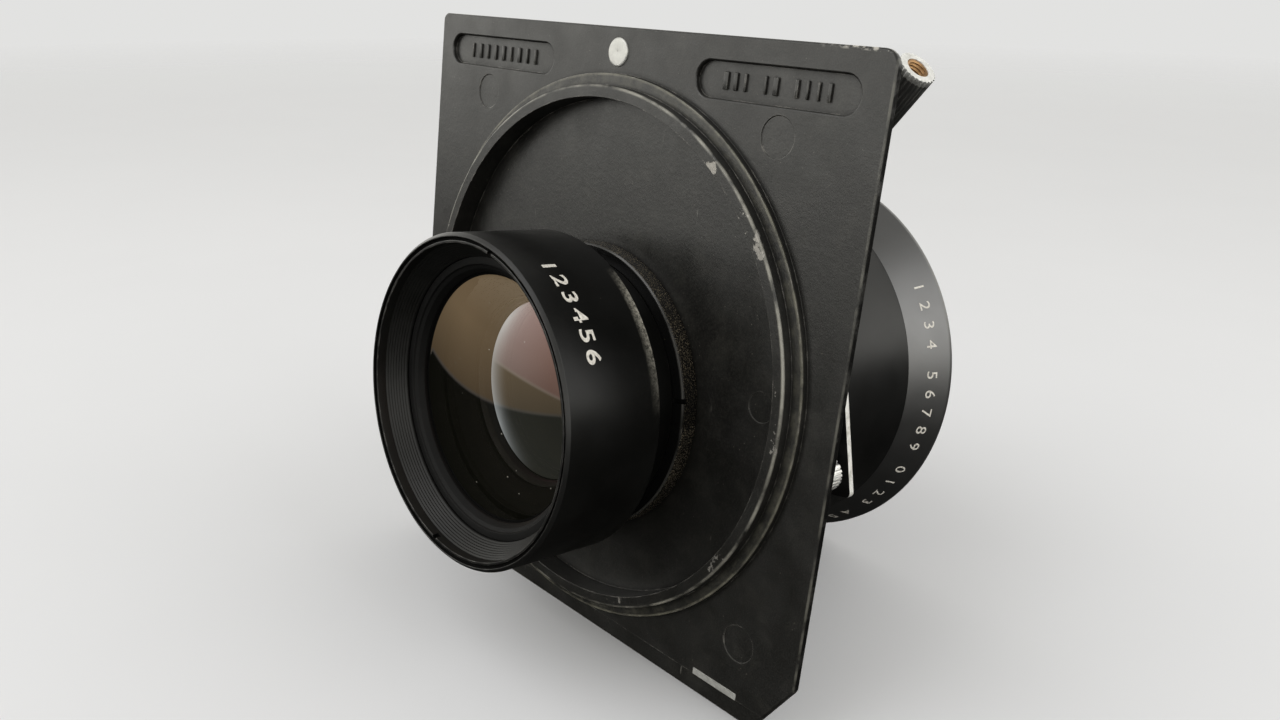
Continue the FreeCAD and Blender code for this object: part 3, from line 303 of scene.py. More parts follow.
def gloss_black():
    """The gloss black spanner ring, with a top edge lightened in patches, partly rubbed paint and partly a painted
    highlight, and brown dust packed on its outer wall.
    """
    g = Graph("gloss_black")
    ring = g.ring_distance(AXIS_Z)
    height = g.separate()[1]
    outer = g.ramp(ring, 37.15 * MM, 37.45 * MM)
    speck = g.ramp(g.noise(3000.0, 4.0, 0.75), 0.52, 0.68)
    patch = g.ramp(g.noise(80.0, 3.0), 0.30, 0.62, 0.35, 1.0)
    clock = g.clock_angle()
    packed = g.math("MULTIPLY", g.math("MULTIPLY", outer, speck), patch)
    packed = g.math("MULTIPLY", packed, g.ramp(clock, 140.0, 172.0, 1.0, 0.3))
    loose = g.math("MULTIPLY", g.ramp(g.voronoi(800.0), 0.0, 0.08, 1.0, 0.0), g.ramp(g.noise(90.0), 0.55, 0.62))
    dust = g.math("MAXIMUM", packed, g.math("MULTIPLY", loose, 0.6))
    colour = g.mix(dust, (0.005, 0.005, 0.005), (0.29, 0.24, 0.16))
    # painted highlight along the top edge, in patches, partly rubbed paint
    top = g.math("MULTIPLY", g.ramp(ring, 36.7 * MM, 36.95 * MM), g.ramp(height, 2.75 * MM, 2.9 * MM))
    top = g.math("MULTIPLY", top, g.ramp(g.noise(60.0, 3.0), 0.36, 0.52))
    colour = g.mix(g.math("MULTIPLY", top, 0.10), colour, (0.42, 0.41, 0.38))
    rough = g.math("ADD", g.math("MULTIPLY", dust, 0.5), g.ramp(g.noise(200.0), 0.3, 0.7, 0.17, 0.27))
    return g.finish(Base_Color=colour, Roughness=rough, Normal=g.bump(dust, 0.3, 0.1 * MM),
                    Specular_IOR_Level=g.ramp(clock, 132.0, 158.0, 0.62, 0.12))


def flock(name="flocked_black"):
    """The dead black of a lens cell's inside: very dark, with hardly any shine and a little lint."""
    g = Graph(name)
    nap = g.noise(2200.0, 3.0)
    colour = g.mix(g.ramp(nap, 0.3, 0.7), (0.0012, 0.0012, 0.0012), (0.0030, 0.0029, 0.0027))
    lint = g.math("MULTIPLY", g.ramp(g.voronoi(500.0), 0.0, 0.05, 1.0, 0.0), g.ramp(g.noise(140.0), 0.6, 0.66))
    colour = g.mix(g.math("MULTIPLY", lint, 0.4), colour, (0.20, 0.19, 0.16))
    return g.finish(Base_Color=colour, Roughness=0.9, Specular_IOR_Level=0.08, Normal=g.bump(nap, 0.3, 0.05 * MM))


def bright_metal(name, colour, roughness, dirt=(0.10, 0.085, 0.06), grime_amount=0.35):
    """Plated or bare bright metal with fine brushing and patches of dirt."""
    g = Graph(name)
    brush = g.noise(500.0, 4.0, 0.6, g.stretched(1.0, 1.0, 8.0))
    tint = g.mix(g.ramp(brush, 0.3, 0.7), tuple(c * 0.86 for c in colour), colour)
    grime = g.math("MULTIPLY", g.ramp(g.noise(340.0, 5.0, 0.7), 0.5, 0.72), grime_amount)
    tint = g.mix(grime, tint, dirt)
    rough = g.ramp(brush, 0.3, 0.7, roughness - 0.05, roughness + 0.12)
    return g.finish(Base_Color=tint, Roughness=rough, Metallic=1.0, Normal=g.bump(brush, 0.08, 0.05 * MM))


def index_paint():
    """Silver enamel of the index marks: pale, slightly mottled, with pinholes."""
    g = Graph("index_silver")
    mottle = g.noise(700.0, 4.0, 0.6)
    colour = g.mix(g.ramp(mottle, 0.35, 0.7), (0.52, 0.52, 0.50), (0.67, 0.67, 0.64))
    pits = g.math("MULTIPLY", g.ramp(g.voronoi(1400.0), 0.0, 0.12, 1.0, 0.0), 0.5)
    colour = g.mix(pits, colour, (0.14, 0.13, 0.12))
    return g.finish(Base_Color=colour, Metallic=0.55, Roughness=g.ramp(mottle, 0.3, 0.7, 0.34, 0.5),
                    Normal=g.bump(mottle, 0.2, 0.08 * MM))


def white_fill(name="engraving_white"):
    """White paint filling an engraving, slightly chipped and yellowed."""
    g = Graph(name)
    patch = g.noise(1500.0, 4.0, 0.6)
    colour = g.mix(g.ramp(patch, 0.35, 0.6), (0.55, 0.52, 0.47), (0.80, 0.77, 0.71))
    return g.finish(Base_Color=colour, Roughness=g.ramp(patch, 0.3, 0.7, 0.5, 0.7), Normal=g.bump(patch, 0.2, 0.05 * MM))


def coated_glass(name, tint, horizon, table, far_strength, dust_amount=0.5, limb_highlight=0.0):
    """Glass seen through, whose near face glows with a painted reflection of a bright room above a dark table.

    tint: colour of the room in the coating; table: what shows below the horizon; horizon: height of the
    table's edge in the reflected direction, the bend of that edge and the brightness of its thin bright line.
    """
    g = Graph(name)
    coords = g.add("ShaderNodeTexCoord")
    level = g.tree.nodes.new("ShaderNodeVectorMath")
    level.operation = "DOT_PRODUCT"
    g.put(level, 0, coords.outputs["Reflection"])
    g.put(level, 1, tuple(FLOOR_NORMAL))
    height, bend, line = horizon
    x, _, z = g.separate()
    offset = g.math("SUBTRACT", x, 7.0 * MM)
    edge = g.math("ADD", height, g.math("MULTIPLY", g.math("MULTIPLY", offset, offset), bend))
    above = g.math("SUBTRACT", level.outputs["Value"], edge)
    room = g.ramp(above, -0.006, 0.006)
    facing = g.add("ShaderNodeLayerWeight", Blend=0.5).outputs["Facing"]
    grazing = g.math("MULTIPLY", g.ramp(facing, 0.16, 0.48, 0.45, 1.0), g.ramp(above, 0.0, 0.16, 0.50, 1.0))
    shade = g.math("MULTIPLY", grazing, g.ramp(g.noise(30.0, 2.0), 0.3, 0.7, 0.9, 1.05))
    lit = g.mix(room, table, tint)
    # painted highlight: a thin bright line just below the reflected table edge
    thin = g.math("MULTIPLY", g.ramp(above, -0.009, -0.003), g.ramp(above, 0.0, 0.006, 1.0, 0.0))
    lit = g.mix(g.math("MULTIPLY", thin, line), lit, (1.0, 0.94, 0.90))
    # painted highlight: a pale band round the far limb of the glass, and a rose tint in the painted reflection towards
    # the other side
    if limb_highlight:
        ring = g.ring_distance(AXIS_Z)
        limb = g.math("MULTIPLY", g.ramp(ring, 13.0 * MM, 22.8 * MM), g.ramp(x, -2.0 * MM, 17.0 * MM))
        lit = g.mix(g.math("MULTIPLY", g.math("POWER", limb, 2.6), limb_highlight), lit, (0.62, 0.67, 0.70))
        rose = g.math("MULTIPLY", room, g.ramp(x, 14.0 * MM, -4.0 * MM))
        lit = g.mix(g.math("MULTIPLY", rose, 0.75), lit, (0.145, 0.056, 0.068))
    front = g.math("SUBTRACT", 1.0, g.add("ShaderNodeNewGeometry").outputs["Backfacing"])
    # painted reflection: an emission on the near face, not a real mirror
    painted_reflection_glow = g.add("ShaderNodeEmission", Color=lit, Strength=g.math("MULTIPLY", shade, front))
    clear = g.tree.nodes.new("ShaderNodeBsdfTransparent")
    clear.inputs["Color"].default_value = (0.93, 0.92, 0.90, 1.0)
    gloss = g.tree.nodes.new("ShaderNodeBsdfGlossy")
    gloss.inputs["Roughness"].default_value = 0.0
    gloss.inputs["Color"].default_value = (0.70, 0.62, 0.50, 1.0)
    through = g.tree.nodes.new("ShaderNodeMixShader")
    g.put(through, 0, g.math("MULTIPLY", g.ramp(facing, 0.0, 1.0, 0.02, 0.12), far_strength, clamp=True))
    g.put(through, 1, clear.outputs[0])
    g.put(through, 2, gloss.outputs[0])
    surface = g.tree.nodes.new("ShaderNodeAddShader")
    g.tree.links.new(through.outputs[0], surface.inputs[0])
    g.tree.links.new(painted_reflection_glow.outputs[0], surface.inputs[1])
    specks = g.ramp(g.voronoi(300.0), 0.02, 0.070, 1.0, 0.0)
    specks = g.math("MULTIPLY", specks, g.ramp(g.noise(90.0), 0.50, 0.54))
    dust = g.math("MULTIPLY", g.math("MULTIPLY", specks, dust_amount), front)
    matte = g.tree.nodes.new("ShaderNodeBsdfDiffuse")
    matte.inputs["Color"].default_value = (0.6, 0.58, 0.52, 1.0)
    final = g.tree.nodes.new("ShaderNodeMixShader")
    g.put(final, 0, dust)
    g.put(final, 1, surface.outputs[0])
    g.put(final, 2, matte.outputs[0])
    g.tree.links.new(final.outputs[0], g.out.inputs[0])
    return g.material


def plate_black():
    """Black enamel on the flats of a thin plate, with the cut edges left bright."""
    g = Graph("plate_black")
    normal = g.add("ShaderNodeSeparateXYZ", Vector=g.add("ShaderNodeNewGeometry").outputs["Normal"])
    side = g.ramp(g.math("ABSOLUTE", normal.outputs[1]), 0.80, 0.55)
    mottle = g.noise(500.0, 4.0)
    black = g.mix(g.ramp(mottle, 0.35, 0.7), (0.005, 0.005, 0.005), (0.010, 0.010, 0.010))
    bright = g.mix(g.ramp(mottle, 0.30, 0.55), (0.55, 0.53, 0.48), (0.86, 0.85, 0.82))
    colour = g.mix(side, black, bright)
    return g.finish(Base_Color=colour, Roughness=g.ramp(side, 0.0, 1.0, 0.38, 0.42), Metallic=g.math("MULTIPLY", side, 0.3),
                    Normal=g.bump(mottle, 0.12, 0.05 * MM))


def plastic(name, colour):
    g = Graph(name)
    speckle = g.noise(1300.0, 3.0)
    shade = g.mix(g.ramp(speckle, 0.3, 0.7), tuple(c * 0.8 for c in colour), colour)
    return g.finish(Base_Color=shade, Roughness=0.5, Normal=g.bump(speckle, 0.15, 0.05 * MM))


MATERIALS = {
    "board": board_paint(),
    "anodised": turned_metal("black_anodised", (0.0028, 0.0028, 0.0027), (0.16, 0.16, 0.15), 0.33, 0.5, 0.5, 0.4),
    "rear_barrel": turned_metal("rear_barrel_black", (0.0024, 0.0024, 0.0022), (0.12, 0.116, 0.105), 0.32, 0.28, 0.55,
                                0.24, (13.8, 16.8)),
    "rear_lip": turned_metal("rear_lip_black", (0.0040, 0.0040, 0.0038), (0.34, 0.33, 0.31), 0.36, 0.7, 0.5, 0.45),
    "front_barrel": turned_metal("front_barrel_black", (0.0030, 0.0030, 0.0029), (0.16, 0.16, 0.15), 0.32, 0.5, 0.5, 0.28),
    "front_band": turned_metal("front_band_black", (0.0030, 0.0030, 0.0029), (0.16, 0.16, 0.15), 0.43, 0.5, 0.5, 0.72,
                               None, 1.9),
    "knurl": turned_metal("knurled_black", (0.024, 0.024, 0.023), (0.34, 0.33, 0.31), 0.36, 0.8, 0.4, 0.6),
    "anodised_rough": turned_metal("black_anodised_rough", (0.002, 0.002, 0.002), (0.05, 0.05, 0.045), 0.6, 0.3, 0.3, 0.2),
    "baffle": turned_metal("baffle_black", (0.0055, 0.0056, 0.0052), (0.07, 0.07, 0.065), 0.42, 0.25, 0.5, 0.3),
    "flock": flock(),
    "plate": plate_black(),
    "housing": turned_metal("housing_black", (0.006, 0.006, 0.006), (0.22, 0.21, 0.20), 0.42, 0.6, 0.4),
    "gloss": gloss_black(),
    "speed": turned_metal("speed_ring_black", (0.016, 0.016, 0.017), (0.6, 0.6, 0.58), 0.35, 0.9, 0.3),
    "chrome": bright_metal("satin_chrome", (0.84, 0.84, 0.82), 0.30, (0.34, 0.33, 0.31), 0.15),
    "bush": bright_metal("dull_brass", (0.40, 0.24, 0.115), 0.38, (0.06, 0.035, 0.02)),
    "satin": bright_metal("satin_nickel", (0.92, 0.92, 0.90), 0.52, (0.40, 0.38, 0.33)),
    "steel": bright_metal("brushed_steel", (0.50, 0.50, 0.49), 0.36),
    "brass": bright_metal("turned_brass", (0.66, 0.49, 0.24), 0.30),
    "blade": bright_metal("blackened_spring_steel", (0.10, 0.10, 0.11), 0.40, (0.03, 0.03, 0.03)),
    "index": index_paint(),
    "white": white_fill(),
    "insulator": plastic("brown_insulator", (0.20, 0.13, 0.07)),
    "glass_outer": coated_glass("rear_glass_amber", (0.125, 0.088, 0.050), (-0.240, 55.0, 0.05), (0.006, 0.006, 0.004),
                                0.35, 0.7),
    "glass_inner": coated_glass("rear_glass_rose", (0.250, 0.190, 0.215), (-0.212, 0.0, 0.15), (0.040, 0.042, 0.036),
                                0.3, 0.2, 0.88),
    "glass_front": coated_glass("front_glass_violet", (0.030, 0.026, 0.052), (-0.1, 0.0, 0.0), (0.004, 0.004, 0.006),
                                0.4, 0.3),
    "glass_front_inner": coated_glass("front_glass_green", (0.022, 0.040, 0.030), (-0.1, 0.0, 0.0),
                                      (0.004, 0.005, 0.004), 0.3, 0.1),
}


# ---------------------------------------------------------------- mesh helpers

def make_object(name, vertices, faces, material, body, replaces=None, sharp=32.0):
    mesh = bpy.data.meshes.new(name)
    mesh.from_pydata(vertices, [], faces)
    bm = bmesh.new()
    bm.from_mesh(mesh)
    bmesh.ops.recalc_face_normals(bm, faces=bm.faces)
    bm.to_mesh(mesh)
    bm.free()
    obj = bpy.data.objects.new(name, mesh)
    bpy.context.scene.collection.objects.link(obj)
    dress(obj, material, sharp)
    settle(obj, body, replaces)
    return obj


def dress(obj, material, sharp=32.0):
    obj.data.materials.clear()
    obj.data.materials.append(MATERIALS[material])
    for polygon in obj.data.polygons:
        polygon.use_smooth = True
    obj.data.set_sharp_from_angle(angle=math.radians(sharp))


def settle(obj, body, replaces):
    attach(obj, body)
    if replaces:
        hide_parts(replaces)


def rounded(points, radius, steps=3):
    """A closed outline with each corner turned into a small arc."""
    result = []
    count = len(points)
    for index in range(count):
        here = Vector(points[index])
        before = Vector(points[index - 1])
        after = Vector(points[(index + 1) % count])
        to_before = before - here
        to_after = after - here
        reach = min(radius, to_before.length * 0.45, to_after.length * 0.45)
        start = here + to_before.normalized() * reach
        end = here + to_after.normalized() * reach
        for step in range(steps + 1):
            t = step / steps
            result.append(tuple(start * (1 - t) ** 2 + here * 2 * t * (1 - t) + end * t ** 2))
    return result


def lathe_mesh(profile, segments, centre=(0.0, 0.0)):
    """Vertices and faces of a closed (radius, y) outline turned about a line parallel to Y; sizes in millimetres."""
    vertices = []
    faces = []
    count = len(profile)
    for segment in range(segments):
        angle = 2 * math.pi * segment / segments
        for r, y in profile:
            vertices.append((centre[0] + r * MM * math.cos(angle), y * MM, centre[1] + r * MM * math.sin(angle)))
    for segment in range(segments):
        a = segment * count
        b = ((segment + 1) % segments) * count
        for index in range(count):
            after = (index + 1) % count
            faces.append((a + index, a + after, b + after, b + index))
    return vertices, faces


def lathe(name, profile, material, body, replaces=None, segments=256, round_by=0.15, centre=None, sharp=32.0):
    outline = rounded(profile, round_by) if round_by else profile
    vertices, faces = lathe_mesh(outline, segments, centre or (0.0, AXIS_Z))
    return make_object(name, vertices, faces, material, body, replaces, sharp)


def lens_mesh(name, node, edge_radius, face_radius, y_front, y_rear, bulge_front, bulge_rear, material):
    """A glass element as a closed mesh: two spherical faces inside flat seats, and a ground edge."""
    rings = 28
    segments = 160
    chamfer = 0.25
    profile = []
    for index in range(rings + 1):
        share = index / rings
        profile.append((face_radius * share, y_front - bulge_front * (1 - share ** 2)))
    profile += [(edge_radius - chamfer, y_front), (edge_radius, y_front + chamfer)]
    profile += [(edge_radius, y_rear - chamfer), (edge_radius - chamfer, y_rear)]
    for index in range(rings + 1):
        share = 1 - index / rings
        profile.append((face_radius * share, y_rear + bulge_rear * (1 - share ** 2)))
    inner = profile[1:-1]
    count = len(inner)
    vertices = []
    faces = []
    for segment in range(segments):
        angle = 2 * math.pi * segment / segments
        for r, y in inner:
            vertices.append((r * MM * math.cos(angle), y * MM, AXIS_Z + r * MM * math.sin(angle)))
    front_pole = len(vertices)
    rear_pole = front_pole + 1
    vertices.append((0.0, profile[0][1] * MM, AXIS_Z))
    vertices.append((0.0, profile[-1][1] * MM, AXIS_Z))
    for segment in range(segments):
        a = segment * count
        b = ((segment + 1) % segments) * count
        for index in range(count - 1):
            faces.append((a + index, a + index + 1, b + index + 1, b + index))
        faces.append((front_pole, a, b))
        faces.append((rear_pole, b + count - 1, a + count - 1))
    glass = make_object(name, vertices, faces, material, "board", node, 25.0)
    glass.data.materials.append(MATERIALS["flock"])
    for polygon in glass.data.polygons:
        centre = polygon.center
        if math.hypot(centre.x, centre.z - AXIS_Z) > face_radius * MM:
            polygon.material_index = 1
    return glass


def carve(obj, cutters, operation="DIFFERENCE"):
    """Booleans the cutters into obj and applies them."""
    for cutter in cutters:
        modifier = obj.modifiers.new("carve", "BOOLEAN")
        modifier.operation = operation
        modifier.solver = "EXACT"
        modifier.object = cutter
    graph = bpy.context.evaluated_depsgraph_get()
    mesh = bpy.data.meshes.new_from_object(obj.evaluated_get(graph))
    obj.modifiers.clear()
    obj.data = mesh
    for cutter in cutters:
        bpy.data.objects.remove(cutter)


def box_cutter(x0, x1, y0, y1, z0, z1, angle=0.0):
    """A box given relative to the optical axis in millimetres, turned about it."""
    mesh = bpy.data.meshes.new("cutter")
    bm = bmesh.new()
    bmesh.ops.create_cube(bm, size=1.0)
    for vertex in bm.verts:
        x = x0 if vertex.co.x < 0 else x1
        y = y0 if vertex.co.y < 0 else y1
        z = z0 if vertex.co.z < 0 else z1
        a = math.radians(angle)
        vertex.co = ((x * math.cos(a) - z * math.sin(a)) * MM, y * MM, AXIS_Z + (x * math.sin(a) + z * math.cos(a)) * MM)
    bm.to_mesh(mesh)
    bm.free()
    obj = bpy.data.objects.new("cutter", mesh)
    bpy.context.scene.collection.objects.link(obj)
    return obj


def bevelled_copy(name, node, material, body, width=0.18, angle=28.0, segments=2, round_sharp=40.0):
    """The CAD node's own shape with its flats merged and every hard edge given a real rounded bevel."""
    source = NODES[node].data
    mesh = bpy.data.meshes.new(name)
    mesh.from_pydata([v.co for v in source.vertices], [], [p.vertices[:] for p in source.polygons])
    bm = bmesh.new()
    bm.from_mesh(mesh)
    bmesh.ops.remove_doubles(bm, verts=bm.verts, dist=1e-7)
    bmesh.ops.dissolve_limit(bm, angle_limit=math.radians(0.6), verts=bm.verts, edges=bm.edges)
    bm.to_mesh(mesh)
    bm.free()
    obj = bpy.data.objects.new(name, mesh)
    bpy.context.scene.collection.objects.link(obj)
    bevel = obj.modifiers.new("bevel", "BEVEL")
    bevel.width = width * MM
    bevel.segments = segments
    bevel.limit_method = "ANGLE"
    bevel.angle_limit = math.radians(angle)
    bevel.use_clamp_overlap = True
    apply_modifiers(obj)
    dress(obj, material, round_sharp)
    obj.modifiers.new("even_flats", "WEIGHTED_NORMAL").keep_sharp = True
    apply_modifiers(obj)
    settle(obj, body, node)
    return obj


def apply_modifiers(obj):
    graph = bpy.context.evaluated_depsgraph_get()
    obj.data = bpy.data.meshes.new_from_object(obj.evaluated_get(graph))
    obj.modifiers.clear()


# ---------------------------------------------------------------- engraving

def glyph_mesh(text, height, weight):
    """A flat mesh of generic numerals, centred, with its baseline along X."""
    curve = bpy.data.curves.new("glyph", "FONT")
    curve.body = text
    curve.size = height * 1.38
    curve.align_x = "CENTER"
    curve.align_y = "CENTER"
    curve.resolution_u = 6
    curve.offset = weight * height
    holder = bpy.data.objects.new("glyph", curve)
    bpy.context.scene.collection.objects.link(holder)
    graph = bpy.context.evaluated_depsgraph_get()
    mesh = bpy.data.meshes.new_from_object(holder.evaluated_get(graph))
    bpy.data.objects.remove(holder)
    return mesh


def engrave(bm, text, height, place, width_factor=1.0, weight=0.012):
    """Adds numerals to bm; place maps a flat (x, y) in millimetres to a point in the frame, for two depths."""
    mesh = glyph_mesh(text, height, weight)
    outer = []
    inner = []
    for vertex in mesh.vertices:
        outer.append(bm.verts.new(place(vertex.co.x * width_factor, vertex.co.y, 1)))
        inner.append(bm.verts.new(place(vertex.co.x * width_factor, vertex.co.y, 0)))
    for polygon in mesh.polygons:
        indices = list(polygon.vertices)
        bm.faces.new([outer[i] for i in indices])
        bm.faces.new([inner[i] for i in reversed(indices)])
    uses = {}
    for polygon in mesh.polygons:
        for edge in polygon.edge_keys:
            uses[edge] = uses.get(edge, 0) + 1
    for (a, b), count in uses.items():
        if count == 1:
            bm.faces.new([outer[a], outer[b], inner[b], inner[a]])
    bpy.data.meshes.remove(mesh)


def on_turned_wall(radius_at, y_centre, angle_centre, lift=0.03, sink=0.3, up=-1.0):
    """Places flat numerals on a wall of revolution; the top of a numeral points along up times +Y."""
    def place(x, y, outside):
        along = y_centre + up * y
        r = radius_at(along) + (lift if outside else -sink)
        angle = math.radians(angle_centre) + x / radius_at(along)
        return (r * MM * math.cos(angle), along * MM, AXIS_Z + r * MM * math.sin(angle))
    return place


def engraved_object(name, build, material, body):
    mesh = bpy.data.meshes.new(name)
    bm = bmesh.new()
    build(bm)
    bmesh.ops.recalc_face_normals(bm, faces=bm.faces)
    bm.to_mesh(mesh)
    bm.free()
    obj = bpy.data.objects.new(name, mesh)
    bpy.context.scene.collection.objects.link(obj)
    dress(obj, material)
    settle(obj, body, None)
    return obj


# ---------------------------------------------------------------- lens board

def build_board():
    bevelled_copy("board_casting", "lens_board", "board", "board", 0.22)
    dot_low, dot_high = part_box("index_dot")
    dot_radius = (dot_high.x - dot_low.x) / 2 / MM
    top = dot_high.y / MM
    centre = ((dot_low.x + dot_high.x) / 2, (dot_low.z + dot_high.z) / 2)
    dome = [(0.05, dot_low.y / MM), (dot_radius, dot_low.y / MM), (dot_radius, top - 0.22), (dot_radius - 0.3, top - 0.02), (0.05, top)]
    lathe("index_dot_domed", dome, "index", "board", "index_dot", 96, 0.12, centre)
    bevelled_copy("index_strip_bar", "index_strip", "index", "board", 0.08)
    build_cast_marks()


PILL_FLOOR = -1.3  # the floor of the two cast recesses, in millimetres from the board's rear face


def build_cast_marks():
    """Plain raised bars in the two cast recesses, where a maker's lettering would be."""
    rows = ((49.9, 71.9, 9, 3.6), (-48.5, 71.7, 11, 2.9))
    for row, (x_centre, z_centre, count, pitch) in enumerate(rows):
        vertices = []
        faces = []
        for index in range(count):
            x = x_centre + (index - (count - 1) / 2) * pitch
            if row == 1 and index in (4, 7):
                continue
            half = 0.30 + 0.5 * RANDOM.random()
            tall = 2.0
            low, high, top = PILL_FLOOR - 0.02, PILL_FLOOR + 0.55, 0.12
            base = len(vertices)
            for y, inset in ((low, 0.0), (high, top)):
                for sx, sz in ((-1, -1), (1, -1), (1, 1), (-1, 1)):
                    vertices.append(((x + sx * (half - inset)) * MM, y * MM, (z_centre + sz * (tall - inset)) * MM))
            faces.append(tuple(base + i for i in (0, 1, 2, 3)))
            faces.append(tuple(base + i for i in (4, 5, 6, 7)))
            for i in range(4):
                j = (i + 1) % 4
                faces.append((base + i, base + j, base + 4 + j, base + 4 + i))
        marks = make_object("cast_marks_%d" % (row + 1), vertices, faces, "board", "board", None)
        bevel = marks.modifiers.new("bevel", "BEVEL")
        bevel.width = 0.13 * MM
        bevel.segments = 2
        apply_modifiers(marks)
        dress(marks, "board")


# ---------------------------------------------------------------- rear cell

def build_rear_cell():
    rim = REAR_RIM / MM
    radius = REAR_RADIUS / MM
    low = span("rear_barrel", 1)[0] / MM
    seat = span("rear_retaining_ring", 1)[0] / MM
    profile = [
        (29.0, low), (29.0, 3.3), (34.0, 3.3), (34.0, 10.5), (40.0, 13.4), (radius, 14.2),
        (radius, rim - 0.7), (radius - 0.7, rim), (radius - 1.0, rim), (39.7, rim - 0.8), (39.0, rim - 0.8),
        (38.95, rim - 0.3), (38.35, rim - 0.3),
    ]
    thread = []
    cone_start, cone_end = (38.3, rim - 2.6), (34.9, 34.3)
    thread.append((38.3, rim - 1.7))
    ridges = 8
    for index in range(ridges):
        t0 = index / ridges
        t1 = (index + 0.55) / ridges
        r0 = cone_start[0] + (cone_end[0] - cone_start[0]) * t0
        y0 = cone_start[1] + (cone_end[1] - cone_start[1]) * t0
        r1 = cone_start[0] + (cone_end[0] - cone_start[0]) * t1
        y1 = cone_start[1] + (cone_end[1] - cone_start[1]) * t1
        thread += [(r0, y0), (r1 + 0.28, y1 + 0.12)]
    profile += thread + [
        (34.9, 34.3), (34.85, 34.0), (34.85, seat), (32.45, seat), (32.45, 24.5), (30.4, 24.5),
        (30.4, 22.5), (24.45, 19.6), (24.45, 10.0), (23.0, 10.0), (23.0, 8.6), (25.2, low),
    ]
    barrel = lathe("rear_cell_barrel", profile, "rear_barrel", "board", "rear_barrel", 320, 0.12)
    carve(barrel, [box_cutter(37.6, 39.4, rim - 1.9, rim + 1, -0.8, 0.8, angle) for angle in (101.0, 281.0)])
    dress(barrel, "rear_barrel")
    paint_zones(barrel, (
        # painted shade: the groove in the rim gets the dead-black flock, darker than the barrel's own finish
        ("flock", lambda r, y: rim - 0.9 < y < rim - 0.2 and 38.97 < r < 39.8),
        # the lip and thread crest get a finish with more pale edge wear, partly real wear and partly painted highlight
        # along them
        ("rear_lip", lambda r, y: y > rim - 0.75 and r > 38.3),
        ("baffle", lambda r, y: y > 33.9 and r < 38.45),
        ("flock", lambda r, y: y > 8.7 and r < 34.9),
    ))
    ring_low, ring_high = (value / MM for value in span("rear_retaining_ring", 1))
    ring = [(34.8, ring_low), (34.8, ring_high), (33.0, ring_high), (32.8, ring_high - 0.5), (31.9, ring_high - 0.9), (31.0, ring_low + 1.0), (31.0, ring_low)]
    lathe("rear_glass_ring", ring, "anodised_rough", "board", "rear_retaining_ring", 256, 0.1)
    lens_mesh("rear_outer_glass", "rear_outer_element", 32.4, 30.3, 24.5, 30.2, -1.8, 2.6, "glass_outer")
    lens_mesh("rear_inner_glass", "rear_inner_element", 24.4, 22.9, 10.0, 15.4, 1.8, 1.4, "glass_inner")
    inner = [(24.4, 15.4), (24.4, 18.6), (24.0, 18.6), (23.2, 17.4), (23.2, 15.4)]
    lathe("rear_inner_glass_ring", inner, "anodised_rough", "board", "rear_inner_ring", 192, 0.1)
    engraved_object("rear_cell_numerals", engrave_rear, "white", "board")


def engrave_rear(bm):
    """Six plain numerals running down the side of the rear cell."""
    radius = REAR_RADIUS / MM
    for index, character in enumerate("123456"):
        engrave(bm, character, 4.0, on_turned_wall(lambda y: radius, 31.9, 115.4 + 6.9 * index), 1.35, 0.022)


def paint_zones(barrel, zones):
    """Gives zones of a turned piece their own finish; a zone's test takes a radius and a height in millimetres."""
    for index, (material, test) in enumerate(zones, 1):
        barrel.data.materials.append(MATERIALS[material])
        for polygon in barrel.data.polygons:
            centre = polygon.center
            r = math.hypot(centre.x, centre.z - AXIS_Z) / MM
            if polygon.material_index == 0 and test(r, centre.y / MM):
                polygon.material_index = index


# ---------------------------------------------------------------- front cell

def build_front_cell():
    rim = FRONT_RIM / MM
    radius = FRONT_RADIUS / MM
    profile = [
        (29.0, -24.0), (27.0, -24.0), (27.0, -42.0), (30.05, -42.0), (30.05, -51.0), (44.0, -63.0), (44.0, -65.0),
        (48.25, -65.0), (48.25, -79.4), (50.65, -79.4), (50.65, -82.2), (52.4, -82.2),
    ]
    ridges = 4
    start, end = -82.6, rim + 0.9
    for index in range(ridges):
        y = start + (end - start) * index / ridges
        profile += [(52.4, y), (52.85, y + (end - start) * 0.5 / ridges)]
    profile += [
        (52.4, end), (53.2, rim), (radius - 0.7, rim), (radius, rim + 0.7), (radius, rim + 1.9), (50.2, -73.6),
        (50.2, -41.0), (49.2, -40.0), (33.0, -40.0), (33.0, -38.5), (29.0, -38.5),
    ]
    barrel = lathe("front_cell_barrel", profile, "front_barrel", "board", "front_barrel", 320, 0.14)
    paint_zones(barrel, (
        ("front_band", lambda r, y: y < -73.8 and abs(r - cone_radius(y)) < 0.8),
        ("baffle", lambda r, y: y < -79.5 and r < 53.3),
        ("flock", lambda r, y: y < -41.5 and r < 48.6),
    ))
    ring_low, ring_high = (value / MM for value in span("front_retaining_ring", 1))
    ring = [(50.6, ring_high), (50.6, ring_low), (49.0, ring_low), (48.8, ring_low + 0.4), (46.6, ring_high - 1.0), (46.6, ring_high)]
    lathe("front_glass_ring", ring, "anodised_rough", "board", "front_retaining_ring", 256, 0.1)
    lens_mesh("front_outer_glass", "front_outer_element", 48.2, 46.5, -79.4, -65.0, 2.4, -4.0, "glass_front")
    lens_mesh("front_inner_glass", "front_inner_element", 30.0, 26.9, -48.6, -42.0, -2.4, 1.6, "glass_front_inner")
    inner = [(30.0, -48.6), (30.0, -50.6), (29.4, -50.6), (28.4, -49.6), (28.4, -48.6)]
    lathe("front_inner_glass_ring", inner, "anodised_rough", "board", "front_inner_ring", 192, 0.1)
    engraved_object("front_cell_numerals", engrave_front, "white", "board")


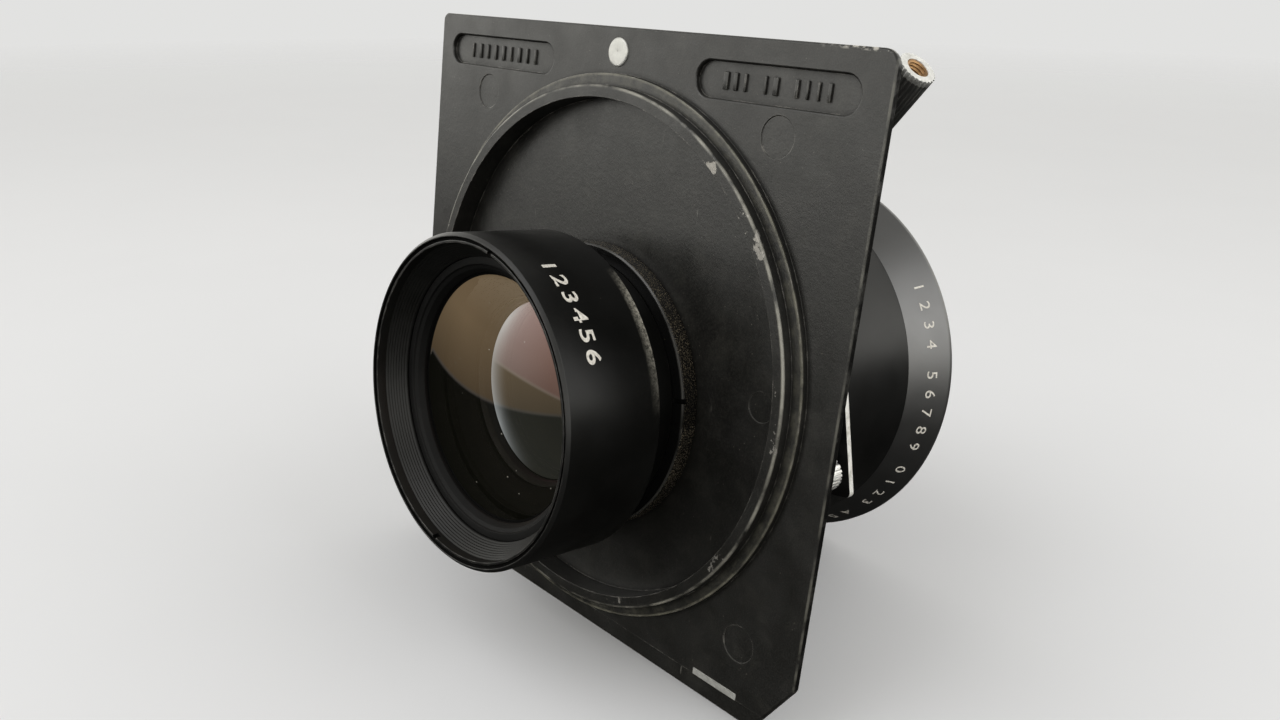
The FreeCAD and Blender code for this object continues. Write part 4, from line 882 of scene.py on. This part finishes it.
def cone_radius(y):
    """Radius of the front cell's flared band at a height y, in millimetres."""
    share = (-73.6 - y) / (-73.6 - (FRONT_RIM / MM + 1.9))
    return 50.2 + share * (FRONT_RADIUS / MM - 50.2)


def engrave_front(bm):
    """Plain dial numerals round the flared band."""
    groups = ("1234", "56789", "0123", "45678", "90")
    angle = 145.0
    for group in groups:
        for character in group:
            engrave(bm, character, 3.0, on_turned_wall(cone_radius, -80.4, angle, up=-1.0), 1.3, 0.0)
            angle += 5.9
        angle += 3.4


# ---------------------------------------------------------------- everything else on the shutter

def build_retaining_ring():
    low, high = (value / MM for value in span("retaining_ring", 1))
    radius = radius_of("retaining_ring") / MM
    profile = [(31.05, low), (radius, low), (radius, high - 0.5), (radius - 0.5, high), (31.6, high), (31.05, high - 0.5)]
    ring = lathe("spanner_ring", profile, "gloss", "board", "retaining_ring", 256, 0.2)
    carve(ring, [box_cutter(34.0, 40.0, 1.9, 5.0, -0.6, 0.6, angle) for angle in (170.0, 350.0)])
    dress(ring, "gloss")


SOCKET_MOUNT = next(m for m in frame["record"]["mounts"] if m["name"] == "cable_release_socket")


def build_release_bush():
    """The threaded brass bush in the end of the cable-release extension, turned about its own line."""
    length = 8.0
    near, far = -length / 2 - 0.1, length / 2 - 0.1
    profile = [(2.1, near), (2.5, near), (2.5, far - 0.1), (2.4, far), (2.25, far)]
    pitch = 0.75
    for index in range(10):
        top = far - 0.2 - pitch * index
        profile += [(1.9, top), (2.25, top - pitch * 0.5)]
    vertices, faces = lathe_mesh(profile, 72)
    place = Vector(SOCKET_MOUNT["pos_m"])
    turn = Vector((0, 1, 0)).rotation_difference(Vector(SOCKET_MOUNT["axis"])).to_matrix()
    vertices = [tuple(place + turn @ Vector(v)) for v in vertices]
    make_object("extension_bush_threaded", vertices, faces, "bush", "board", "extension_bush")


KEPT = {
    "front_cover": "anodised", "speed_ring_retainer": "anodised_rough",
    "retainer_screws": "steel", "sync_insulator": "insulator", "sync_contact": "brass",
    "release_plunger": "steel", "mechanism_plate": "blade",
    "main_spring": "steel", "cocking_ring": "steel", "iris_base_ring": "anodised_rough", "iris_drive_ring": "blade",
    "leaf_base_plate": "anodised_rough", "leaf_drive_ring": "blade",
}
BEVELLED = {
    "shutter_housing": ("housing_shell", "housing", "housing_paint", 0.2),
    "scale_plate": ("scale_plate_sheet", "plate", "housing_paint", 0.10),
    "scale_plate_screws": ("scale_plate_screw_pair", "steel", "lever_steel", 0.08),
    "speed_ring": ("speed_ring_knurled", "speed", "speed_ring_metal", 0.15),
    "aperture_lever": ("aperture_lever_arm", "steel", "lever_steel", 0.12),
    "aperture_tab": ("aperture_tab_ridged", "satin", "chrome_trim", 0.05),
    "cocking_tab": ("cocking_tab_pad", "chrome", "chrome_trim", 0.3),
    "preview_tab": ("preview_tab_pad", "chrome", "chrome_trim", 0.25),
    "release_lever": ("release_lever_arm", "chrome", "lever_steel", 0.15),
    "sync_socket": ("sync_socket_sleeve", "chrome", "chrome_trim", 0.12),
    "release_socket": ("release_socket_bush", "chrome", "chrome_trim", 0.12),
    "extension_tube": ("extension_tube_body", "anodised", "black_anodised", 0.12),
    "extension_sleeve": ("extension_sleeve_knurled", "knurl", "black_anodised", 0.08),
    "extension_collar": ("extension_collar_knurled", "satin", "chrome_trim", 0.06),
}


def body_of_node(node):
    for body, members in frame["record"]["behaviour"]["bodies"].items():
        if node in members:
            return body
    return "board"


def build_small_parts():
    build_release_bush()
    for node, (name, material, slot, width) in BEVELLED.items():
        bevelled_copy(name, node, material, body_of_node(node), width)
    for node, obj in NODES.items():
        if obj.hide_render:
            continue
        if node in KEPT:
            dress_cad(obj, KEPT[node])
        elif node.startswith(("iris_blade", "shutter_leaf")):
            dress_cad(obj, "blade")


def dress_cad(obj, material):
    """A CAD node keeps its mesh and only gets a material."""
    obj.data.materials.clear()
    obj.data.materials.append(MATERIALS[material])
    for polygon in obj.data.polygons:
        polygon.material_index = 0


# ---------------------------------------------------------------- stage, light and camera

CAMERA_PLACE = Vector((-0.2001, 0.1817, 0.0735))
CAMERA_HEADING = -44.9
CAMERA_PITCH = -15.51
CAMERA_ROLL = 6.38
CAMERA_WIDTH_ANGLE = 62.0


def build_camera():
    data = bpy.data.cameras.new("camera")
    data.sensor_width = 36.0
    data.angle = math.radians(CAMERA_WIDTH_ANGLE)
    data.clip_start = 0.005
    camera = bpy.data.objects.new("camera", data)
    bpy.context.scene.collection.objects.link(camera)
    heading = math.radians(CAMERA_HEADING)
    pitch = math.radians(CAMERA_PITCH)
    forward = Vector((math.cos(heading) * math.cos(pitch), math.sin(heading) * math.cos(pitch), math.sin(pitch)))
    level = forward.to_track_quat("-Z", "Y")
    camera.matrix_world = Matrix.Translation(CAMERA_PLACE) @ level.to_matrix().to_4x4() @ Matrix.Rotation(math.radians(CAMERA_ROLL), 4, "Z")
    bpy.context.scene.camera = camera
    bpy.context.scene.view_settings.view_transform = "Standard"


def build_stage():
    size = 6.0
    across = Vector((1, 0, 0))
    centre = FLOOR_EDGE - FLOOR_NORMAL * 0.0002
    mesh = bpy.data.meshes.new("floor")
    corners = [centre + across * size * a + FLOOR_SLOPE * size * b for a, b in ((-1, -1), (1, -1), (1, 1), (-1, 1))]
    mesh.from_pydata([tuple(c) for c in corners], [], [(0, 1, 2, 3)])
    floor = bpy.data.objects.new("floor", mesh)
    bpy.context.scene.collection.objects.link(floor)
    g = Graph("pale_floor")
    tone = g.noise(9.0, 3.0)
    colour = g.mix(g.ramp(tone, 0.3, 0.7), (0.77, 0.775, 0.80), (0.78, 0.785, 0.81))
    mesh.materials.append(g.finish(Base_Color=colour, Roughness=0.8, Specular_IOR_Level=0.0))
    far = g.tree.nodes.new("ShaderNodeVectorMath")
    far.operation = "LENGTH"
    g.put(far, 0, g.coords)
    open_edge = g.tree.nodes.new("ShaderNodeBsdfTransparent")
    fade = g.tree.nodes.new("ShaderNodeMixShader")
    g.put(fade, 0, g.ramp(far.outputs["Value"], 0.45, 2.2))
    g.put(fade, 1, g.out.inputs[0].links[0].from_socket)
    g.put(fade, 2, open_edge.outputs[0])
    g.tree.links.new(fade.outputs[0], g.out.inputs[0])
    floor.visible_glossy = False
    floor.visible_diffuse = False


# brightness of the surroundings against height above the table, from straight down (-1) to straight up (1)
SURROUNDINGS = ((-1.0, 0.015), (-0.05, 0.022), (0.06, 2.5), (0.25, 1.75), (0.60, 0.65), (1.0, 0.36))
BACKDROP = (0.76, 0.76, 0.75, 1)


def build_light():
    """A room that is bright just above the table line and dimmer overhead, a dark table, and two soft lights."""
    world = bpy.data.worlds.new("studio")
    bpy.context.scene.world = world
    world.use_nodes = True
    tree = world.node_tree
    tree.nodes.clear()
    out = tree.nodes.new("ShaderNodeOutputWorld")
    coords = tree.nodes.new("ShaderNodeTexCoord")
    dot = tree.nodes.new("ShaderNodeVectorMath")
    dot.operation = "DOT_PRODUCT"
    dot.inputs[1].default_value = tuple(FLOOR_NORMAL)
    tree.links.new(coords.outputs["Generated"], dot.inputs[0])
    share = tree.nodes.new("ShaderNodeMapRange")
    share.inputs["From Min"].default_value = -1.0
    tree.links.new(dot.outputs["Value"], share.inputs["Value"])
    ramp = tree.nodes.new("ShaderNodeValToRGB")
    tree.links.new(share.outputs["Result"], ramp.inputs[0])
    stops = ramp.color_ramp.elements
    brightest = max(shade for _, shade in SURROUNDINGS)
    while len(stops) < len(SURROUNDINGS):
        stops.new(0.5)
    for stop, (height, shade) in zip(stops, SURROUNDINGS):
        stop.position = (height + 1.0) / 2.0
        value = shade / brightest
        stop.color = (value, value * 0.985, value * 0.925, 1.0)
    scaled = tree.nodes.new("ShaderNodeVectorMath")
    scaled.operation = "SCALE"
    scaled.inputs["Scale"].default_value = brightest
    tree.links.new(ramp.outputs["Color"], scaled.inputs[0])
    rays = tree.nodes.new("ShaderNodeLightPath")
    seen = world_mix(tree, rays.outputs["Is Camera Ray"], scaled.outputs["Vector"], BACKDROP)
    background = tree.nodes.new("ShaderNodeBackground")
    tree.links.new(seen, background.inputs["Color"])
    tree.links.new(background.outputs[0], out.inputs[0])
    area("key_light", Vector((0.25, 0.75, 0.85)), Vector((0, 0, 0)), 0.9, 4.0)
    area("fill_light", Vector((-0.9, -0.2, 0.6)), Vector((0, 0, 0)), 0.8, 3.0)


def world_mix(tree, factor, a, b):
    node = tree.nodes.new("ShaderNodeMix")
    node.data_type = "RGBA"
    tree.links.new(factor, node.inputs[0])
    for index, value in ((6, a), (7, b)):
        if isinstance(value, tuple):
            node.inputs[index].default_value = value
        else:
            tree.links.new(value, node.inputs[index])
    return node.outputs[2]


def area(name, place, target, size, power):
    data = bpy.data.lights.new(name, "AREA")
    data.shape = "SQUARE"
    data.size = size
    data.energy = power
    light = bpy.data.objects.new(name, data)
    light.location = place
    light.rotation_mode = "QUATERNION"
    light.rotation_quaternion = (target - place).to_track_quat("-Z", "Y")
    bpy.context.scene.collection.objects.link(light)


build_board()
build_rear_cell()
build_front_cell()
build_retaining_ring()
build_small_parts()
build_camera()
build_stage()
build_light()
